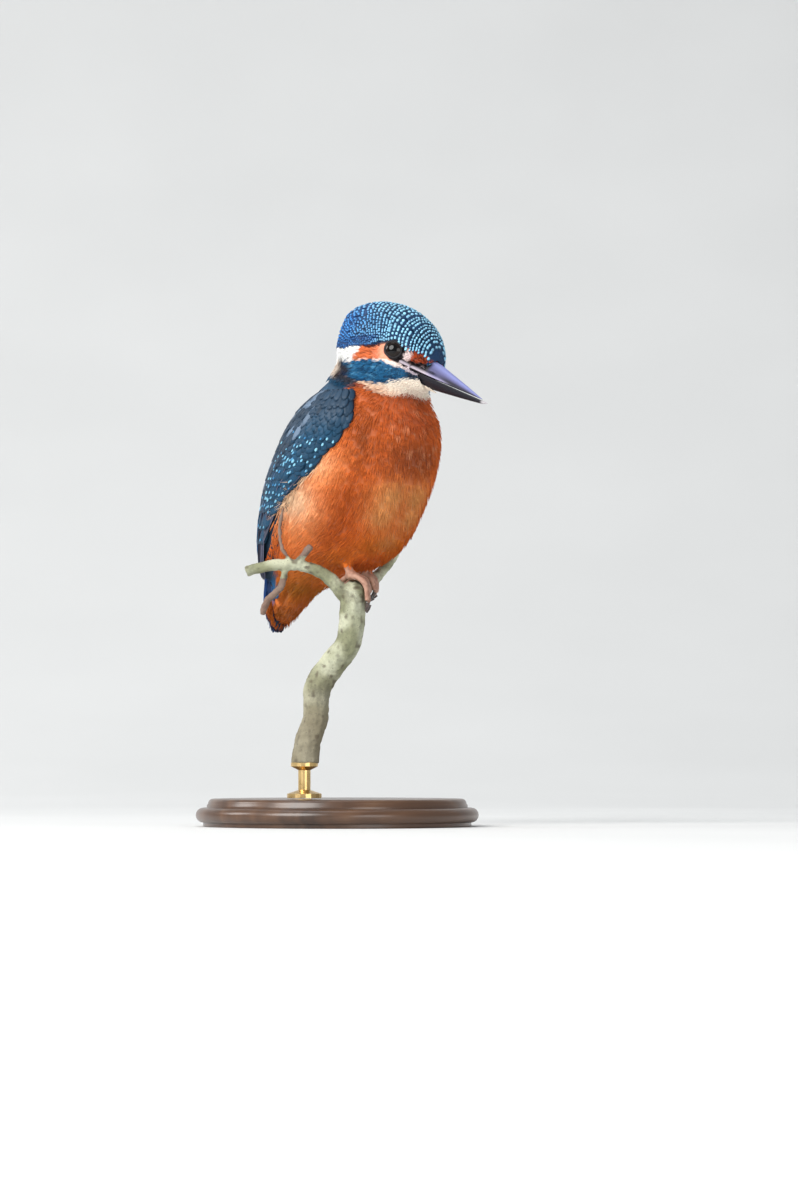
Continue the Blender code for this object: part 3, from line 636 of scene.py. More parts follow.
def depthAt(points, parts):  # how deep the skin lies in the coat
    depth = 0.45 + 1.15 * smooth((points[:, 1] + 7) / 7)
    h = toHead(points)
    headShare = smooth(pastNeck(points) / 3 + 0.5)
    depth = depth * (1 - headShare) + 0.75 * headShare
    depth = depth * (1 - smooth((h[:, 0] - 1) / 7) * headShare) + 0.35 * smooth((h[:, 0] - 1) / 7) * headShare
    for name, value in (("wing_right", 0.7), ("wing_left", 0.7), ("tail", 0.4)):
        depth = np.where(parts == partIndex[name], value, depth)
    for name in ("leg_right", "leg_left", "foot_right", "foot_left"):
        depth = np.where(parts == partIndex[name], 0.25 + 1.3 * smooth((points[:, 1] - 3.5) / 2.5), depth)
    for side in (1, -1):
        eye = fromHead((headSet["eyesForward"], headSet["eyesUp"], 8.5 * side))
        depth = np.minimum(depth, 0.15 + 0.6 * smooth((np.linalg.norm(points - eye, axis=1) - 5.0) / 3))
    return depth


# skin
lidSet = {"forward": 0.431, "up": 0.08, "side": 0.894, "ball": 4.05, "open": math.radians(36.5),
          "rim": 0.42, "hide": 0.55, "wide": 0.34}


def eyeAxis(side):
    return unit(np.array((lidSet["forward"], lidSet["up"], lidSet["side"] * side)))


def openingAt(h, side):  # mm outside the lids' edge along the eyeball, and the radius from its middle
    middle = np.array((headSet["eyesForward"], headSet["eyesUp"], 8.5 * side))
    reach = h - middle
    radius = np.linalg.norm(reach, axis=1)
    axis = eyeAxis(side)
    across = unit(np.cross((0, 1, 0), axis)) * side
    above = np.cross(axis, across) * side
    angle = np.arccos(np.clip(unit(reach) @ axis, -1, 1))
    x, y = unit(reach) @ across, unit(reach) @ above
    around = np.arctan2(y, x)
    edge = lidSet["open"] * (1 + 0.07 * np.cos(2 * (around + 0.25))
                             - 0.05 * np.maximum(np.sin(around), 0) ** 2)
    return (angle - edge) * lidSet["ball"], radius, middle


def makeSkin():
    mesh = formMesh.copy()
    setPoints(mesh, formPoints - formNormals * depthAt(formPoints, formParts)[:, None])
    skin = bmesh.new()
    skin.from_mesh(mesh)
    for side in (1, -1):
        at = Vector(toWorld(fromHead(np.array((headSet["eyesForward"], headSet["eyesUp"], 8.5 * side))
                                     + eyeAxis(side) * 3)))
        near = [e for e in skin.edges if all((v.co - at).length < 4.6 * mm for v in e.verts)]
        bmesh.ops.subdivide_edges(skin, edges=near, cuts=2, use_grid_fill=True, smooth=0)
    bmesh.ops.triangulate(skin, faces=[f for f in skin.faces if len(f.verts) > 4])
    skin.to_mesh(mesh)
    skin.free()
    h = toHead(birdPoints(mesh))
    for side in (1, -1):
        x, radius, middle = openingAt(h, side)
        way = unit(h - middle)
        rim = lidSet["ball"] + lidSet["rim"]
        inside = smooth(x / 0.12 + 0.5)
        lid = lidSet["ball"] - lidSet["hide"] + (rim - lidSet["ball"] + lidSet["hide"]) * inside
        lid = lid - 0.25 * smooth((x - lidSet["wide"]) / 0.25) + 0.12 * np.exp(-((x - 0.95) / 0.2) ** 2)
        keep = smooth((x - 0.7) / 0.9)
        near = (x < 1.6) & (radius < 6.5) & (h[:, 2] * side > 0) & (radius > 2.0)
        wanted = middle + way * (lid * (1 - keep) + radius * keep)[:, None]
        h = np.where(near[:, None], wanted, h)
    points = fromHead(h)
    setPoints(mesh, points)
    return mesh, points


def skinTint(points, parts):
    out = markings(points)
    # the plumage's colours, darker on the skin under the coat, and darker still under the wings and tail:
    # painted shade in the gaps between feathers
    out = out * (0.82 + 0.15 * out.min(-1, keepdims=True))
    wing = (parts == partIndex["wing_right"]) | (parts == partIndex["wing_left"])
    out[wing] = tones["covert"] * 0.5
    out[parts == partIndex["tail"]] = tones["tail"] * 0.5
    foot = np.isin(parts, [partIndex[n] for n in ("leg_right", "leg_left", "foot_right", "foot_left")])
    scales = smooth(grain(points, 0.7, 2) + 0.4)
    out[foot] = mix(tones["foot"], tones["footDark"], scales[foot] * 0.5)
    h = toHead(points)
    for side in (1, -1):
        x, radius, _ = openingAt(h, side)
        near = smooth((0.9 - x) / 0.5) * (radius < 6.5) * (h[:, 2] * side > 0)
        out = mix(out, tones["lid"], near)
    return out


print("skin")
skinMesh, skinPoints = makeSkin()
skinParts = formParts if len(skinPoints) == len(formParts) else partsOf(skinPoints)


def skinFinish():
    finish = Finish("skin", Roughness=0.62, Specular_IOR_Level=0.35)
    finish.feed("Base Color", finish.tint())
    finish.bump(finish.noise(2200, 3.0), 0.5, 0.12 * mm)
    return finish.material


addPiece("skin", skinMesh, skinFinish(), fleshNodes, skinTint(skinPoints, skinParts))
print("skin", len(skinMesh.polygons), "faces")


# an unwrap of the skin, for the feathers' own patches
def makeUnwrap():
    plain = linked("plain", formMesh.copy())
    plain.modifiers.new("thin", "DECIMATE").ratio = 0.08
    flat = linked("flat", evaluated(plain))
    bpy.context.view_layer.objects.active = flat
    flat.select_set(True)
    bpy.ops.object.mode_set(mode="EDIT")
    bpy.ops.mesh.select_all(action="SELECT")
    bpy.ops.uv.smart_project(angle_limit=math.radians(70), island_margin=0.004)
    bpy.ops.object.mode_set(mode="OBJECT")
    mesh = flat.data
    mesh.calc_loop_triangles()
    corners = numbers(mesh.loop_triangles, "vertices", np.int32)
    uvs = numbers(mesh.uv_layers.active.data, "uv", width=2)[numbers(mesh.loop_triangles, "loops", np.int32)]
    points = birdPoints(mesh)
    bpy.data.objects.remove(flat)
    return treeFrom(points, corners.tolist()), points[corners], uvs


unwrapTree, unwrapPoints, unwrapUvs = makeUnwrap()


def patchAt(points):  # each root's place on the unwrap
    out = np.zeros((len(points), 2))
    for i, p in enumerate(points):
        near, _, face, _ = unwrapTree.find_nearest(Vector(p))
        a, b, c = unwrapPoints[face]
        edge1, edge2, reach = b - a, c - a, np.array(near) - a
        d11, d12, d22 = edge1 @ edge1, edge1 @ edge2, edge2 @ edge2
        r1, r2 = reach @ edge1, reach @ edge2
        size = max(d11 * d22 - d12 * d12, 1e-12)
        s, t = (d22 * r1 - d12 * r2) / size, (d11 * r2 - d12 * r1) / size
        uv = unwrapUvs[face]
        out[i] = uv[0] * (1 - s - t) + uv[1] * s + uv[2] * t
    return out


print("unwrap", len(unwrapPoints), "triangles")


# feathers
patchSide = 0.003
vaneSection = ((-1.0, 0.0), (-0.55, 1.0), (0.0, 1.3), (0.55, 1.0), (1.0, 0.0), (0.0, -0.6))  # across, up
strandSection = ((-1.0, 0.0), (0.0, 1.0), (1.0, 0.0))
vaneProfile = ((0, 0.4), (0.25, 0.8), (0.55, 1.0), (0.8, 0.85), (1.0, 0.25))  # along, share of the width


def acrossOf(section):
    return (np.array(section)[:, 0] + 1) / 2


def pointOn(spine, share):
    return along(spine, np.full((len(spine), 1), share))[:, 0]


def scatter(chance, spacing, seed, parts=None):  # even random roots on the form where chance(points) is met
    rng = np.random.default_rng(seed)
    corners = formPoints[formTris]
    middles = corners.mean(1)
    allowed = np.ones(len(formTris), bool) if parts is None else np.isin(formParts[formTris[:, 0]], parts)
    allowed[allowed] = chance(middles[allowed]) > 0.02
    chosen = np.nonzero(allowed)[0]
    if not len(chosen):
        return np.zeros((0, 3))
    tri = corners[chosen]
    area = np.linalg.norm(np.cross(tri[:, 1] - tri[:, 0], tri[:, 2] - tri[:, 0]), axis=1) / 2
    count = int(area.sum() / spacing ** 2 * 4)
    pick = rng.choice(len(chosen), count, p=area / area.sum())
    a, b = rng.random(count), rng.random(count)
    flip = a + b > 1
    a[flip], b[flip] = 1 - a[flip], 1 - b[flip]
    spots = tri[pick, 0] * (1 - a - b)[:, None] + tri[pick, 1] * a[:, None] + tri[pick, 2] * b[:, None]
    spots = spots[rng.random(count) < chance(spots)]
    cells, kept = {}, []
    keys = np.floor(spots / spacing).astype(int)
    around = list(np.ndindex(3, 3, 3))
    for p, key in zip(spots, keys):
        for dx, dy, dz in around:
            near = cells.get((key[0] + dx - 1, key[1] + dy - 1, key[2] + dz - 1))
            if near is not None and ((near - p) ** 2).sum() < spacing ** 2:
                break
        else:
            cells[tuple(key)] = p
            kept.append(p)
    return np.array(kept)


def onForm(points):  # nearest points on the form, with normals
    spots, ways = np.empty_like(points), np.empty_like(points)
    for i, p in enumerate(points):
        near, way, _, _ = formTree.find_nearest(Vector(p))
        spots[i], ways[i] = near, way
    return spots, ways


def layOut(roots, lengths, swirl=0.0, seed=0, lie=lieAt):  # spines laid over the form: root, middle, tip
    rng = np.random.default_rng(seed)
    spots, normals = onForm(roots)
    heading = lie(spots, normals)
    twist = rng.normal(0, 1, len(roots)) * swirl
    side = np.cross(heading, normals)
    heading = unit(heading * np.cos(twist)[:, None] + side * np.sin(twist)[:, None])
    spines, ups, ways = [spots], [normals], [heading]
    for _ in range(2):
        spots, fresh = onForm(spots + heading * (lengths / 2)[:, None])
        heading = unit(heading * 0.6 + lie(spots, fresh) * 0.4)
        heading = flattened(heading, fresh)
        spines.append(spots)
        ups.append(fresh)
        ways.append(heading)
    return np.stack(spines, 1), np.stack(ups, 1), np.stack(ways, 1)


def along(three, t):  # a smooth curve through root, middle and tip, at t (…, K)
    t = t[..., None]
    root, middle, tip = (three[:, i].reshape(three.shape[0], *([1] * (t.ndim - 2)), 3) for i in range(3))
    return root * (1 - t) * (1 - 2 * t) + middle * 4 * t * (1 - t) + tip * t * (2 * t - 1)


def joined(name, rings, tints, patches, across, material):  # many closed feathers in one mesh
    count, rows, cols = rings.shape[:3]
    world = toWorld(rings).reshape(-1, 3)
    first = rings[0]
    centre = first.mean((0, 1))
    quad = lambda k, m: (first[k, m], first[k, (m + 1) % cols], first[k + 1, (m + 1) % cols], first[k + 1, m])
    volume = sum(np.dot(q[0] - centre, np.cross(q[1] - centre, q[2] - centre))
                 + np.dot(q[0] - centre, np.cross(q[2] - centre, q[3] - centre))
                 for k in range(rows - 1) for m in range(cols) for q in [quad(k, m)])
    base = (np.arange(count) * rows * cols)[:, None, None]
    k, m = np.meshgrid(np.arange(rows - 1), np.arange(cols), indexing="ij")
    nextM = (m + 1) % cols
    quads = np.stack((k * cols + m, k * cols + nextM, (k + 1) * cols + nextM, (k + 1) * cols + m), -1)
    quads = quads.reshape(1, -1, 4)
    caps = np.stack((np.arange(cols)[::-1], (rows - 1) * cols + np.arange(cols)))[None]
    if volume < 0:
        quads, caps = quads[..., ::-1], caps[..., ::-1]
    quads, caps = (base + quads).reshape(-1, 4), (base + caps).reshape(-1, cols)
    loops = np.concatenate((quads.ravel(), caps.ravel()))
    starts = np.concatenate((np.arange(len(quads)) * 4, len(quads) * 4 + np.arange(len(caps)) * cols))
    mesh = bpy.data.meshes.new(name)
    mesh.vertices.add(len(world))
    mesh.loops.add(len(loops))
    mesh.polygons.add(len(starts))
    mesh.vertices.foreach_set("co", world.astype(np.float32).ravel())
    mesh.loops.foreach_set("vertex_index", loops.astype(np.int32))
    mesh.polygons.foreach_set("loop_start", starts.astype(np.int32))
    mesh.update(calc_edges=True)
    mesh.validate()
    place = np.broadcast_to(patches[:, None, None], (count, rows, cols, 2)).copy()
    place[..., 0] += (across - 0.5) * patchSide
    place[..., 1] += (np.linspace(0, 1, rows)[None, :, None] - 0.5) * patchSide
    layer = mesh.uv_layers.new(name="OFBake")
    layer.data.foreach_set("uv", place.reshape(-1, 2)[loops].astype(np.float32).ravel())
    if tints.ndim == 3:
        tints = np.broadcast_to(tints[:, :, None], (count, rows, cols, 3))
    return addPiece(name, mesh, material, tints=tints.reshape(-1, 3))


# closed leaf-shaped feathers; laid is what layOut returned, and width is one for each
def vanes(name, roots, laid, width, lift, tints, profile=vaneProfile, thick=0.1, camber=0.2):
    spine, up, way = laid
    count = len(spine)
    stops, shape = np.array(profile).T
    t = np.broadcast_to(stops, (count, len(stops)))
    line, normal, heading = along(spine, t), unit(along(up, t)), unit(along(way, t))
    side = unit(np.cross(heading, normal))
    line = line + normal * lift(t)[..., None]
    half = (width[:, None] * shape / 2)[..., None]
    rings = [line + side * half * a + normal * (
        h * thick * (0.35 + shape[:, None] * 0.65) - camber * a * a * half) for a, h in vaneSection]
    joined(name, np.stack(rings, 2), tints, patchAt(roots), acrossOf(vaneSection), sleekFinish)


def strands(spine, up, way, spread, many, thick, lift, seed, bend=0.15):  # tufts of fine closed strands
    rng = np.random.default_rng(seed)
    count = len(spine)
    place = (np.arange(many) + 0.5) / many * 2 - 1 + rng.normal(0, 0.12, (count, many))
    reach = 1 - 0.22 * place ** 2 - rng.random((count, many)) * 0.22
    stops = np.array((0.0, 0.55, 1.0))
    t = reach[..., None] * stops
    line, normal, heading = along(spine, t), unit(along(up, t)), unit(along(way, t))
    side = unit(np.cross(heading, normal))
    fan = place[..., None] * (0.3 + 0.7 * stops) * (spread / 2)[:, None, None]
    fan = fan + rng.normal(0, bend, (count, many, 1)) * stops ** 2 * (spread / 2)[:, None, None]
    high = lift(t) + rng.normal(0, 0.1, (count, many, 1)) * stops
    line = line + side * fan[..., None] + normal * high[..., None]
    half = thick / 2 * np.array((0.9, 1.0, 0.12))[:, None]
    rings = [line + side * half * a + normal * half * h * 0.9 for a, h in strandSection]
    return np.stack(rings, 3).reshape(count * many, 3, 3, 3), place


def tuftMesh(name, roots, rings, place, tints):
    across = np.clip(place * 0.5 + 0.5, 0, 1).ravel()[:, None, None]
    joined(name, rings, tints, np.repeat(patchAt(roots), place.shape[1], axis=0), across, softFinish)


tuftSet = {  # length, width, strands, their thickness, depth of the root, height of the tip, slot, seed
    "coat_flank": (6.0, 3.4, 6, 0.19, 0.6, 1.0, "plumage_breast", 27),
    "coat_breast": (5.2, 2.6, 8, 0.34, 1.5, 0.15, "plumage_breast", 21),
    "coat_thighs": (3.0, 2.0, 8, 0.4, 1.3, 0.1, "plumage_breast", 28),
    "coat_belly": (6.4, 3.0, 8, 0.36, 1.8, 0.25, "plumage_breast", 22),
    "coat_face": (1.25, 0.7, 5, 0.16, 0.3, 0.04, "plumage_head", 23),
    "coat_cheek": (2.5, 1.2, 6, 0.22, 0.6, 0.08, "plumage_head", 24),
}


def paintBody(points, rng):
    return markings(points) * (1 + rng.normal(0, 0.045, (len(points), 1)))


def tuftPiece(name, roots, paint=paintBody, swirl=0.12, bend=0.15, lie=lieAt):
    length, spread, many, thick, depth, proud, slot, seed = tuftSet[name]
    rng = np.random.default_rng(seed)
    size = length * (1 + rng.normal(0, 0.1, len(roots)))
    spine, up, way = layOut(roots, size, swirl, seed, lie)
    lift = lambda t: -depth * (1 - np.clip(t, 0, 1)) ** 1.4 + proud * t * t
    spreads = spread * (1 + rng.normal(0, 0.1, len(roots)))
    rings, place = strands(spine, up, way, spreads, many, thick, lift, seed, bend)
    base = paint(pointOn(spine, 0.8), rng)
    one = base[:, None] * (1 + rng.normal(0, 0.035, (len(roots), many)))[..., None]
    # each strand darker at its root and a little lighter at its tip, less so on pale tones: painted shade
    # deep in the coat
    pale = np.clip(base.min(-1), 0, 1)[:, None, None, None]
    shade = np.array((0.82, 0.98, 1.05))[:, None]
    tints = (one[:, :, None] * (shade + (1 - shade) * pale * 0.8)).reshape(-1, 3, 3)
    tuftMesh(name, roots, rings, place, tints)
    print(name, len(roots), "tufts", len(rings) * 16, "triangles")


softFinish = plumageFinish("soft_plumage", 0.8, 0.1, 0.2)
sleekFinish = plumageFinish("sleek_plumage", 0.45, 0.3, 0.25)

bodyParts = [partIndex[n] for n in ("neck", "trunk", "head")]
wingParts = [partIndex[n] for n in ("wing_right", "wing_left")]

wingFront = {"up": (-9, -1, 1.5, 5, 11.5, 20.5, 30, 38, 46, 52.5, 60.5),  # where the folded wing starts
             "turn": (180, 164, 149, 141, 131, 119, 99, 76, 61, 56, 64)}


# degrees that the left wing's front edge lies further back, under the breast's feathers
def farShift(up, right):
    degrees = 10.0 * smooth((np.asarray(up) - 26) / 14) + 12.0 * smooth((np.asarray(up) - 50) / 7)
    return degrees * (np.asarray(right) < 0)


def aheadOfWing(points):  # degrees round the trunk from the wing's front edge, forward
    edge = np.interp(points[:, 1], wingFront["up"], wingFront["turn"])
    return edge + farShift(points[:, 1], points[:, 2]) - turnOf(points)


# breast, belly, flanks and thighs: long soft tufts, this far apart in mm, and the height of the breast
softSet = {"body": 1.35, "flank": 2.0, "thigh": 0.6, "breastFrom": 33}


def softCoat():
    def under(points):
        ragged = grain(points, 2.2, 31) * 2.5
        up = points[:, 1]
        clear = points[:, 0] - tailPlate(up) > 1.2
        start = 9 * smooth((26 - up) / 8) - 1 + ragged
        inside = (up > -9) | clear & (up > -15)
        return (1 - backness(points)) * (pastNeck(points) < 1.5) * (aheadOfWing(points) > start) * inside

    def flank(points):
        near, up = np.abs(aheadOfWing(points) - 6) < 4, points[:, 1]
        return near * smooth((up - 20) / 4) * smooth((38 - up) / 8) * (1 - backness(points))

    # the flank plumes in orange mixed with the painted flank highlight
    def paintFlankHighlight(points, rng):
        return mix(underside(points), tones["flankHighlight"], 0.5 + rng.random(len(points)) * 0.5)

    roots = scatter(under, softSet["body"], 11, bodyParts + wingParts + [partIndex["tail"]])
    edge = scatter(flank, softSet["flank"], 17, bodyParts + wingParts)
    thighs = scatter(lambda points: smooth((points[:, 1] - 3.2) / 1.5), softSet["thigh"], 18,
                     [partIndex["leg_right"], partIndex["leg_left"]])
    high = roots[:, 1] > softSet["breastFrom"]
    backwards = lambda points, normals: flattened(np.array((-0.88, -0.48, 0.0)), normals)
    tuftPiece("coat_flank", edge, paintFlankHighlight, 0.2, 0.4, backwards)
    tuftPiece("coat_breast", roots[high])
    tuftPiece("coat_thighs", thighs)
    tuftPiece("coat_belly", roots[~high])


# cheeks, throat, malar stripe and lores: short fine tufts, this far apart in mm
faceSet = {"fore": 0.58, "rear": 0.8}


def faceCoat():
    def faceArea(points, way):  # way 1 in front of the eyes, -1 behind them
        h = toHead(points)
        clear = (h[:, 0] > 0.5) == (way > 0)
        for side in (1, -1):
            x, radius, _ = openingAt(h, side)
            clear = clear * ((x > 0.9) | (radius > 6.5) | (h[:, 2] * side < 0))
        return (1 - crownShare(h, 0.3)) * (pastNeck(points) > 0) * clear

    head = [partIndex["head"]]
    tuftPiece("coat_face", scatter(lambda points: faceArea(points, 1), faceSet["fore"], 12, head))
    tuftPiece("coat_cheek", scatter(lambda points: faceArea(points, -1), faceSet["rear"], 14, head))


# crown: transverse rows of dark feathers, each with a pale bar near its tip
crownRings = (  # row number, core forward and up in the head, degrees from forward to the row's top
    (0, 14.2, -3, 108), (11, 7.2, -6, 109), (14, 4.4, -6, 110), (17, 2.2, -6, 117), (20, 1.5, -6, 126),
    (25, -1, -6, 138), (31, -3, -6, 160), (38, -5, -6, 183))


def crownRows():  # roots in rows round the base of the bill, and each one's share of full size
    rng = np.random.default_rng(4)
    leans = np.radians(np.arange(-88, 88.1, 2.0))
    number, forward, up, turns = np.array(crownRings, float).T
    rows = []
    for i in range(int(number[-1]) + 1):
        core = np.array((np.interp(i, number, forward), np.interp(i, number, up), 0.0))
        turn = math.radians(np.interp(i, number, turns))
        row = []
        for lean in leans:
            way = np.array((math.cos(lean) * math.cos(turn), math.cos(lean) * math.sin(turn), math.sin(lean)))
            hit = formTree.ray_cast(Vector(fromHead(core + way * 60)), Vector(-way @ headAxes))[0]
            row.append(fromHead(core) if hit is None else np.array(hit))
        rows.append(row)
    rows = np.array(rows)
    gaps = np.linalg.norm(np.diff(rows, axis=0), axis=2)
    roots, sizes = [], []
    for row, gap in zip(rows, gaps):
        size = np.clip(gap / 2.1, 0.5, 1.15)
        steps = np.linalg.norm(np.diff(row, axis=0), axis=1) / (1.85 * size[1:])
        count = np.concatenate(([0], np.cumsum(steps)))
        wanted = np.arange(rng.random(), count[-1], 1.0)
        wanted = wanted + rng.normal(0, 0.1, len(wanted))
        roots.append(np.stack([np.interp(wanted, count, row[:, k]) for k in range(3)], -1))
        sizes.append(np.interp(wanted, count, size))
    return np.concatenate(roots), np.concatenate(sizes)


crownSet = {"length": 4.0, "width": 2.7, "dashAt": 0.7, "dashLength": 1.0, "dashWidth": 1.95}


def crownCoat():
    roots, size = crownRows()
    h = toHead(roots)
    raised = h + np.array((0, 0.9, 0)) * smooth((h[:, :1] - 1) / 3)
    keep = (crownShare(raised, 0.3) > 0.5) & (pastNeck(roots) > -3)
    roots, size = roots[keep], size[keep]
    rng = np.random.default_rng(5)
    roots = roots + rng.normal(0, 0.1, roots.shape) * (0.6 + smooth((-4 - toHead(roots)[:, :1]) / 12))
    forward, up, _ = toHead(roots).T
    rear = smooth((-11 - forward) / 8)
    back = smooth((1 - forward) / 13) * smooth((12 - up) / 7)
    low = smooth((lineAt("crown", forward) + 4.5 - up) / 2) * smooth((-3 - forward) / 4)
    length = crownSet["length"] * size * (1 + 0.25 * rear) * (1 - 0.55 * smooth((forward - 1) / 6))
    laid = layOut(roots, length * (1 - 0.55 * smooth((forward - 7) / 3)), 0.08, 6)
    base = mix(tones["crownDark"], tones["crownSide"], np.maximum(rear, low) * 0.6)
    base = base * (1 + rng.normal(0, 0.1, (len(roots), 1)))
    # each feather darker towards its root and lighter at its tip: painted shade where the feathers overlap
    vanes("coat_crown", roots, laid, crownSet["width"] * size, lambda t: -0.6 * (1 - t) + 0.12 * t,
          base[:, None] * np.array((0.5, 0.7, 0.9, 1.05, 1.2))[:, None],
          ((0, 0.4), (0.3, 0.85), (0.6, 1.0), (0.85, 0.85), (1.0, 0.3)), 0.07, 0.25)
    tips = pointOn(laid[0], crownSet["dashAt"])
    laid = layOut(tips, crownSet["dashLength"] * size, 0.14, 7)
    width = crownSet["dashWidth"] * size * (1 + rng.normal(0, 0.1, len(roots)))
    width = width * (1 - 0.25 * low - 0.08 * back)
    aside = smooth((9 - up) / 5)
    pale = layered(tones["crownPale"], ("crownMid", back),
                   ("crownRear", np.clip(rear * (0.35 + 0.5 * aside) + low * 0.5, 0, 1)),
                   ("crownSide", low * (0.4 + 0.5 * rng.random(len(roots)))))
    pale = pale * (1 + rng.normal(0, 0.16, (len(roots), 1)))
    ends = np.array([1 - 0.5 * abs(a) ** 3 for a, _ in vaneSection])[:, None]
    vanes("coat_crown_spots", tips, laid, width, lambda t: 0.06 + 0.1 * t,
          pale[:, None, None] * np.array((0.8, 1.0, 1.08, 0.95))[:, None, None] * ends,
          ((0, 0.75), (0.4, 1.0), (0.8, 0.9), (1.0, 0.5)))
    print("crown", len(roots), "feathers")


# chin: white plumes that lie forward under the lower bill
chinSet = {"from": 5.5, "to": 12.0, "rows": 9, "many": 5, "half": 2.6, "length": 3.4, "width": 1.3,
           "strands": 6, "thick": 0.17}


def chinCoat():
    bill = nodeTree("bill_lower")
    roots = []
    for share in np.arange(chinSet["rows"]) / (chinSet["rows"] - 1):
        forward = chinSet["from"] + (chinSet["to"] - chinSet["from"]) * share
        half = chinSet["half"] * (1 - 0.75 * share)
        for j in range(chinSet["many"]):
            start = fromHead((forward, -24.0, half * (j / (chinSet["many"] - 1) * 2 - 1)))
            hit = bill.ray_cast(Vector(start), Vector(headAxes[1]))[0]
            if hit is not None:
                roots.append(np.array(hit))
    roots = np.array(roots)
    rng = np.random.default_rng(61)
    roots = roots + rng.normal(0, 0.15, roots.shape) @ np.diag((1, 0, 1))
    way = unit(np.array((1.0, -0.1, 0.0)) @ headAxes)
    size = chinSet["length"] * (1 + rng.normal(0, 0.15, len(roots)))
    spine = roots[:, None] + way * (size[:, None] * np.array((0, 0.5, 1.0)))[..., None]
    up = np.broadcast_to(-headAxes[1], spine.shape)
    lift = lambda t: -0.2 + 0.35 * np.sin(np.pi * np.clip(t, 0, 1) * 0.8)
    widths = np.full(len(roots), chinSet["width"])
    rings, place = strands(spine, up, np.broadcast_to(way, spine.shape), widths, chinSet["strands"],
                           chinSet["thick"], lift, 62)
    tints = np.broadcast_to(tones["throat"] * 0.98, rings.shape[:2] + (3,))
    tuftMesh("coat_chin", roots, rings, place, tints)


# back: overlapping smooth vanes, blue-green with an azure stripe down to the tail
backSet = {"spacing": 2.1, "length": 7.0, "width": 4.2, "sink": 1.3, "rise": 0.15}


def backCoat():
    dorsal = lambda points: backness(points) * (pastNeck(points) < 0.5)
    roots = scatter(dorsal, backSet["spacing"], 13, bodyParts)
    rng = np.random.default_rng(14)
    laid = layOut(roots, backSet["length"] * (1 + rng.normal(0, 0.08, len(roots))), 0.08, 15)
    base = paintBody(pointOn(laid[0], 0.7), rng)
    lift = lambda t: -backSet["sink"] * (1 - t) + backSet["rise"] * t
    # each feather darker towards its root and lighter at its tip: painted shade where the feathers overlap
    vanes("coat_back", roots, laid, np.full(len(roots), backSet["width"]), lift,
          base[:, None] * np.array((0.7, 0.85, 1.0, 1.08, 1.15))[:, None],
          ((0, 0.35),) + vaneProfile[1:], camber=0.22)
    print("back", len(roots), "feathers")


print("coat")
softCoat()
faceCoat()
crownCoat()
chinCoat()
backCoat()


# wings: covert rows, scapulars and flight feathers
wingRings = (  # shoulder to tip: degrees round the trunk and height of the front edge, then of the back edge
    (66, 60.5, 118, 60.5), (58, 52.5, 132, 57), (63, 46, 142, 51), (78, 38, 146, 43), (99, 30, 150, 33),
    (118, 20.5, 154, 23.5), (130, 11.5, 158, 14), (139, 5, 162, 6), (148, 1.5, 162, 2))
quillProfile = ((0, 0.5), (0.12, 0.8), (0.3, 0.96), (0.5, 1.0), (0.7, 0.95), (0.85, 0.78), (0.95, 0.5),
                (1.0, 0.15))
quillSection = ((-1.0, 0.0), (-0.88, 0.4), (-0.74, 0.5), (-0.08, 0.6), (0.0, 1.0), (0.08, 0.6), (0.74, 0.5),
                (0.88, 0.4), (1.0, 0.0), (0.0, -0.5))


def quillFan(name, line, width, heights, tilt, web, rim):  # flight feathers, each on the one outside it
    heading = unit(np.gradient(line, axis=1))
    normal = onForm(line.reshape(-1, 3))[1].reshape(line.shape)
    sideways = unit(np.cross(heading, normal))
    outward = np.sign((sideways * -np.gradient(line, axis=0)).sum(-1))[..., None]
    shape = np.array([q[1] for q in quillProfile])
    half = (width * shape / 2)[None, :, None]
    line = line + normal * heights[:, None, None]
    rings = np.stack([line + sideways * half * a + normal * (h * 0.1 + outward * tilt * a)
                      for a, h in quillSection], 2)
    edge = np.array([abs(a) > 0.8 for a, _ in quillSection])
    tints = np.where(edge[None, None, :, None], rim[:, None, None], web[:, None, None])
    tints = tints * np.ones(rings.shape[:3] + (1,))
    tints[:, :, 4] *= 0.6
    joined(name, rings, tints, patchAt(line[:, 3]), acrossOf(quillSection), sleekFinish)


def onWing(across, down, side):  # across 0 at the front edge, down 0 at the shoulder; both may be arrays
    rings = np.array(wingRings, float)
    stop = np.linspace(0, 1, len(rings))
    front = rings[:, 0] + farShift(rings[:, 1], side)
    turn, turnBack = np.interp(down, stop, front), np.interp(down, stop, rings[:, 2])
    up, upBack = np.interp(down, stop, rings[:, 1]), np.interp(down, stop, rings[:, 3])
    turn, up = np.radians(turn + (turnBack - turn) * across), up + (upBack - up) * across
    out = np.empty((len(up), 3))
    for i in range(len(up)):
        middle = Vector((float(axisForward(up[i])), up[i], 0))
        way = Vector((math.cos(turn[i]), 0, math.sin(turn[i]) * side))
        hit = formTree.ray_cast(middle + way * 60, -way)[0]
        out[i] = hit if hit is not None else middle + way * 20
    return out


def wingLie(side, across, down):  # the way from shoulder to tip at each root
    ahead = (onWing(across, np.clip(down + 0.06, 0, 1), side)
             - onWing(across, np.clip(down - 0.02, 0, 1), side))
    return lambda points, normals: flattened(unit(ahead), normals)


def vanePiece(name, roots, lie, length, width, lift, shades, tips, seed, profile=vaneProfile, thick=0.09,
              camber=0.22, soft=0.3):
    laid = layOut(roots, length, 0.06, seed, lie)
    # each feather darker at its root by soft and fading into its tip tone: painted shade where the feathers
    # overlap
    fade = np.array([q[0] for q in profile])[None, :, None]
    tints = mix(shades[:, None] * (1 - soft + soft * fade), tips[:, None] * np.ones_like(fade),
                fade[..., 0] ** 2 * soft * 2)
    vanes(name, roots, laid, width, lift, tints, profile, thick, camber)
    return laid


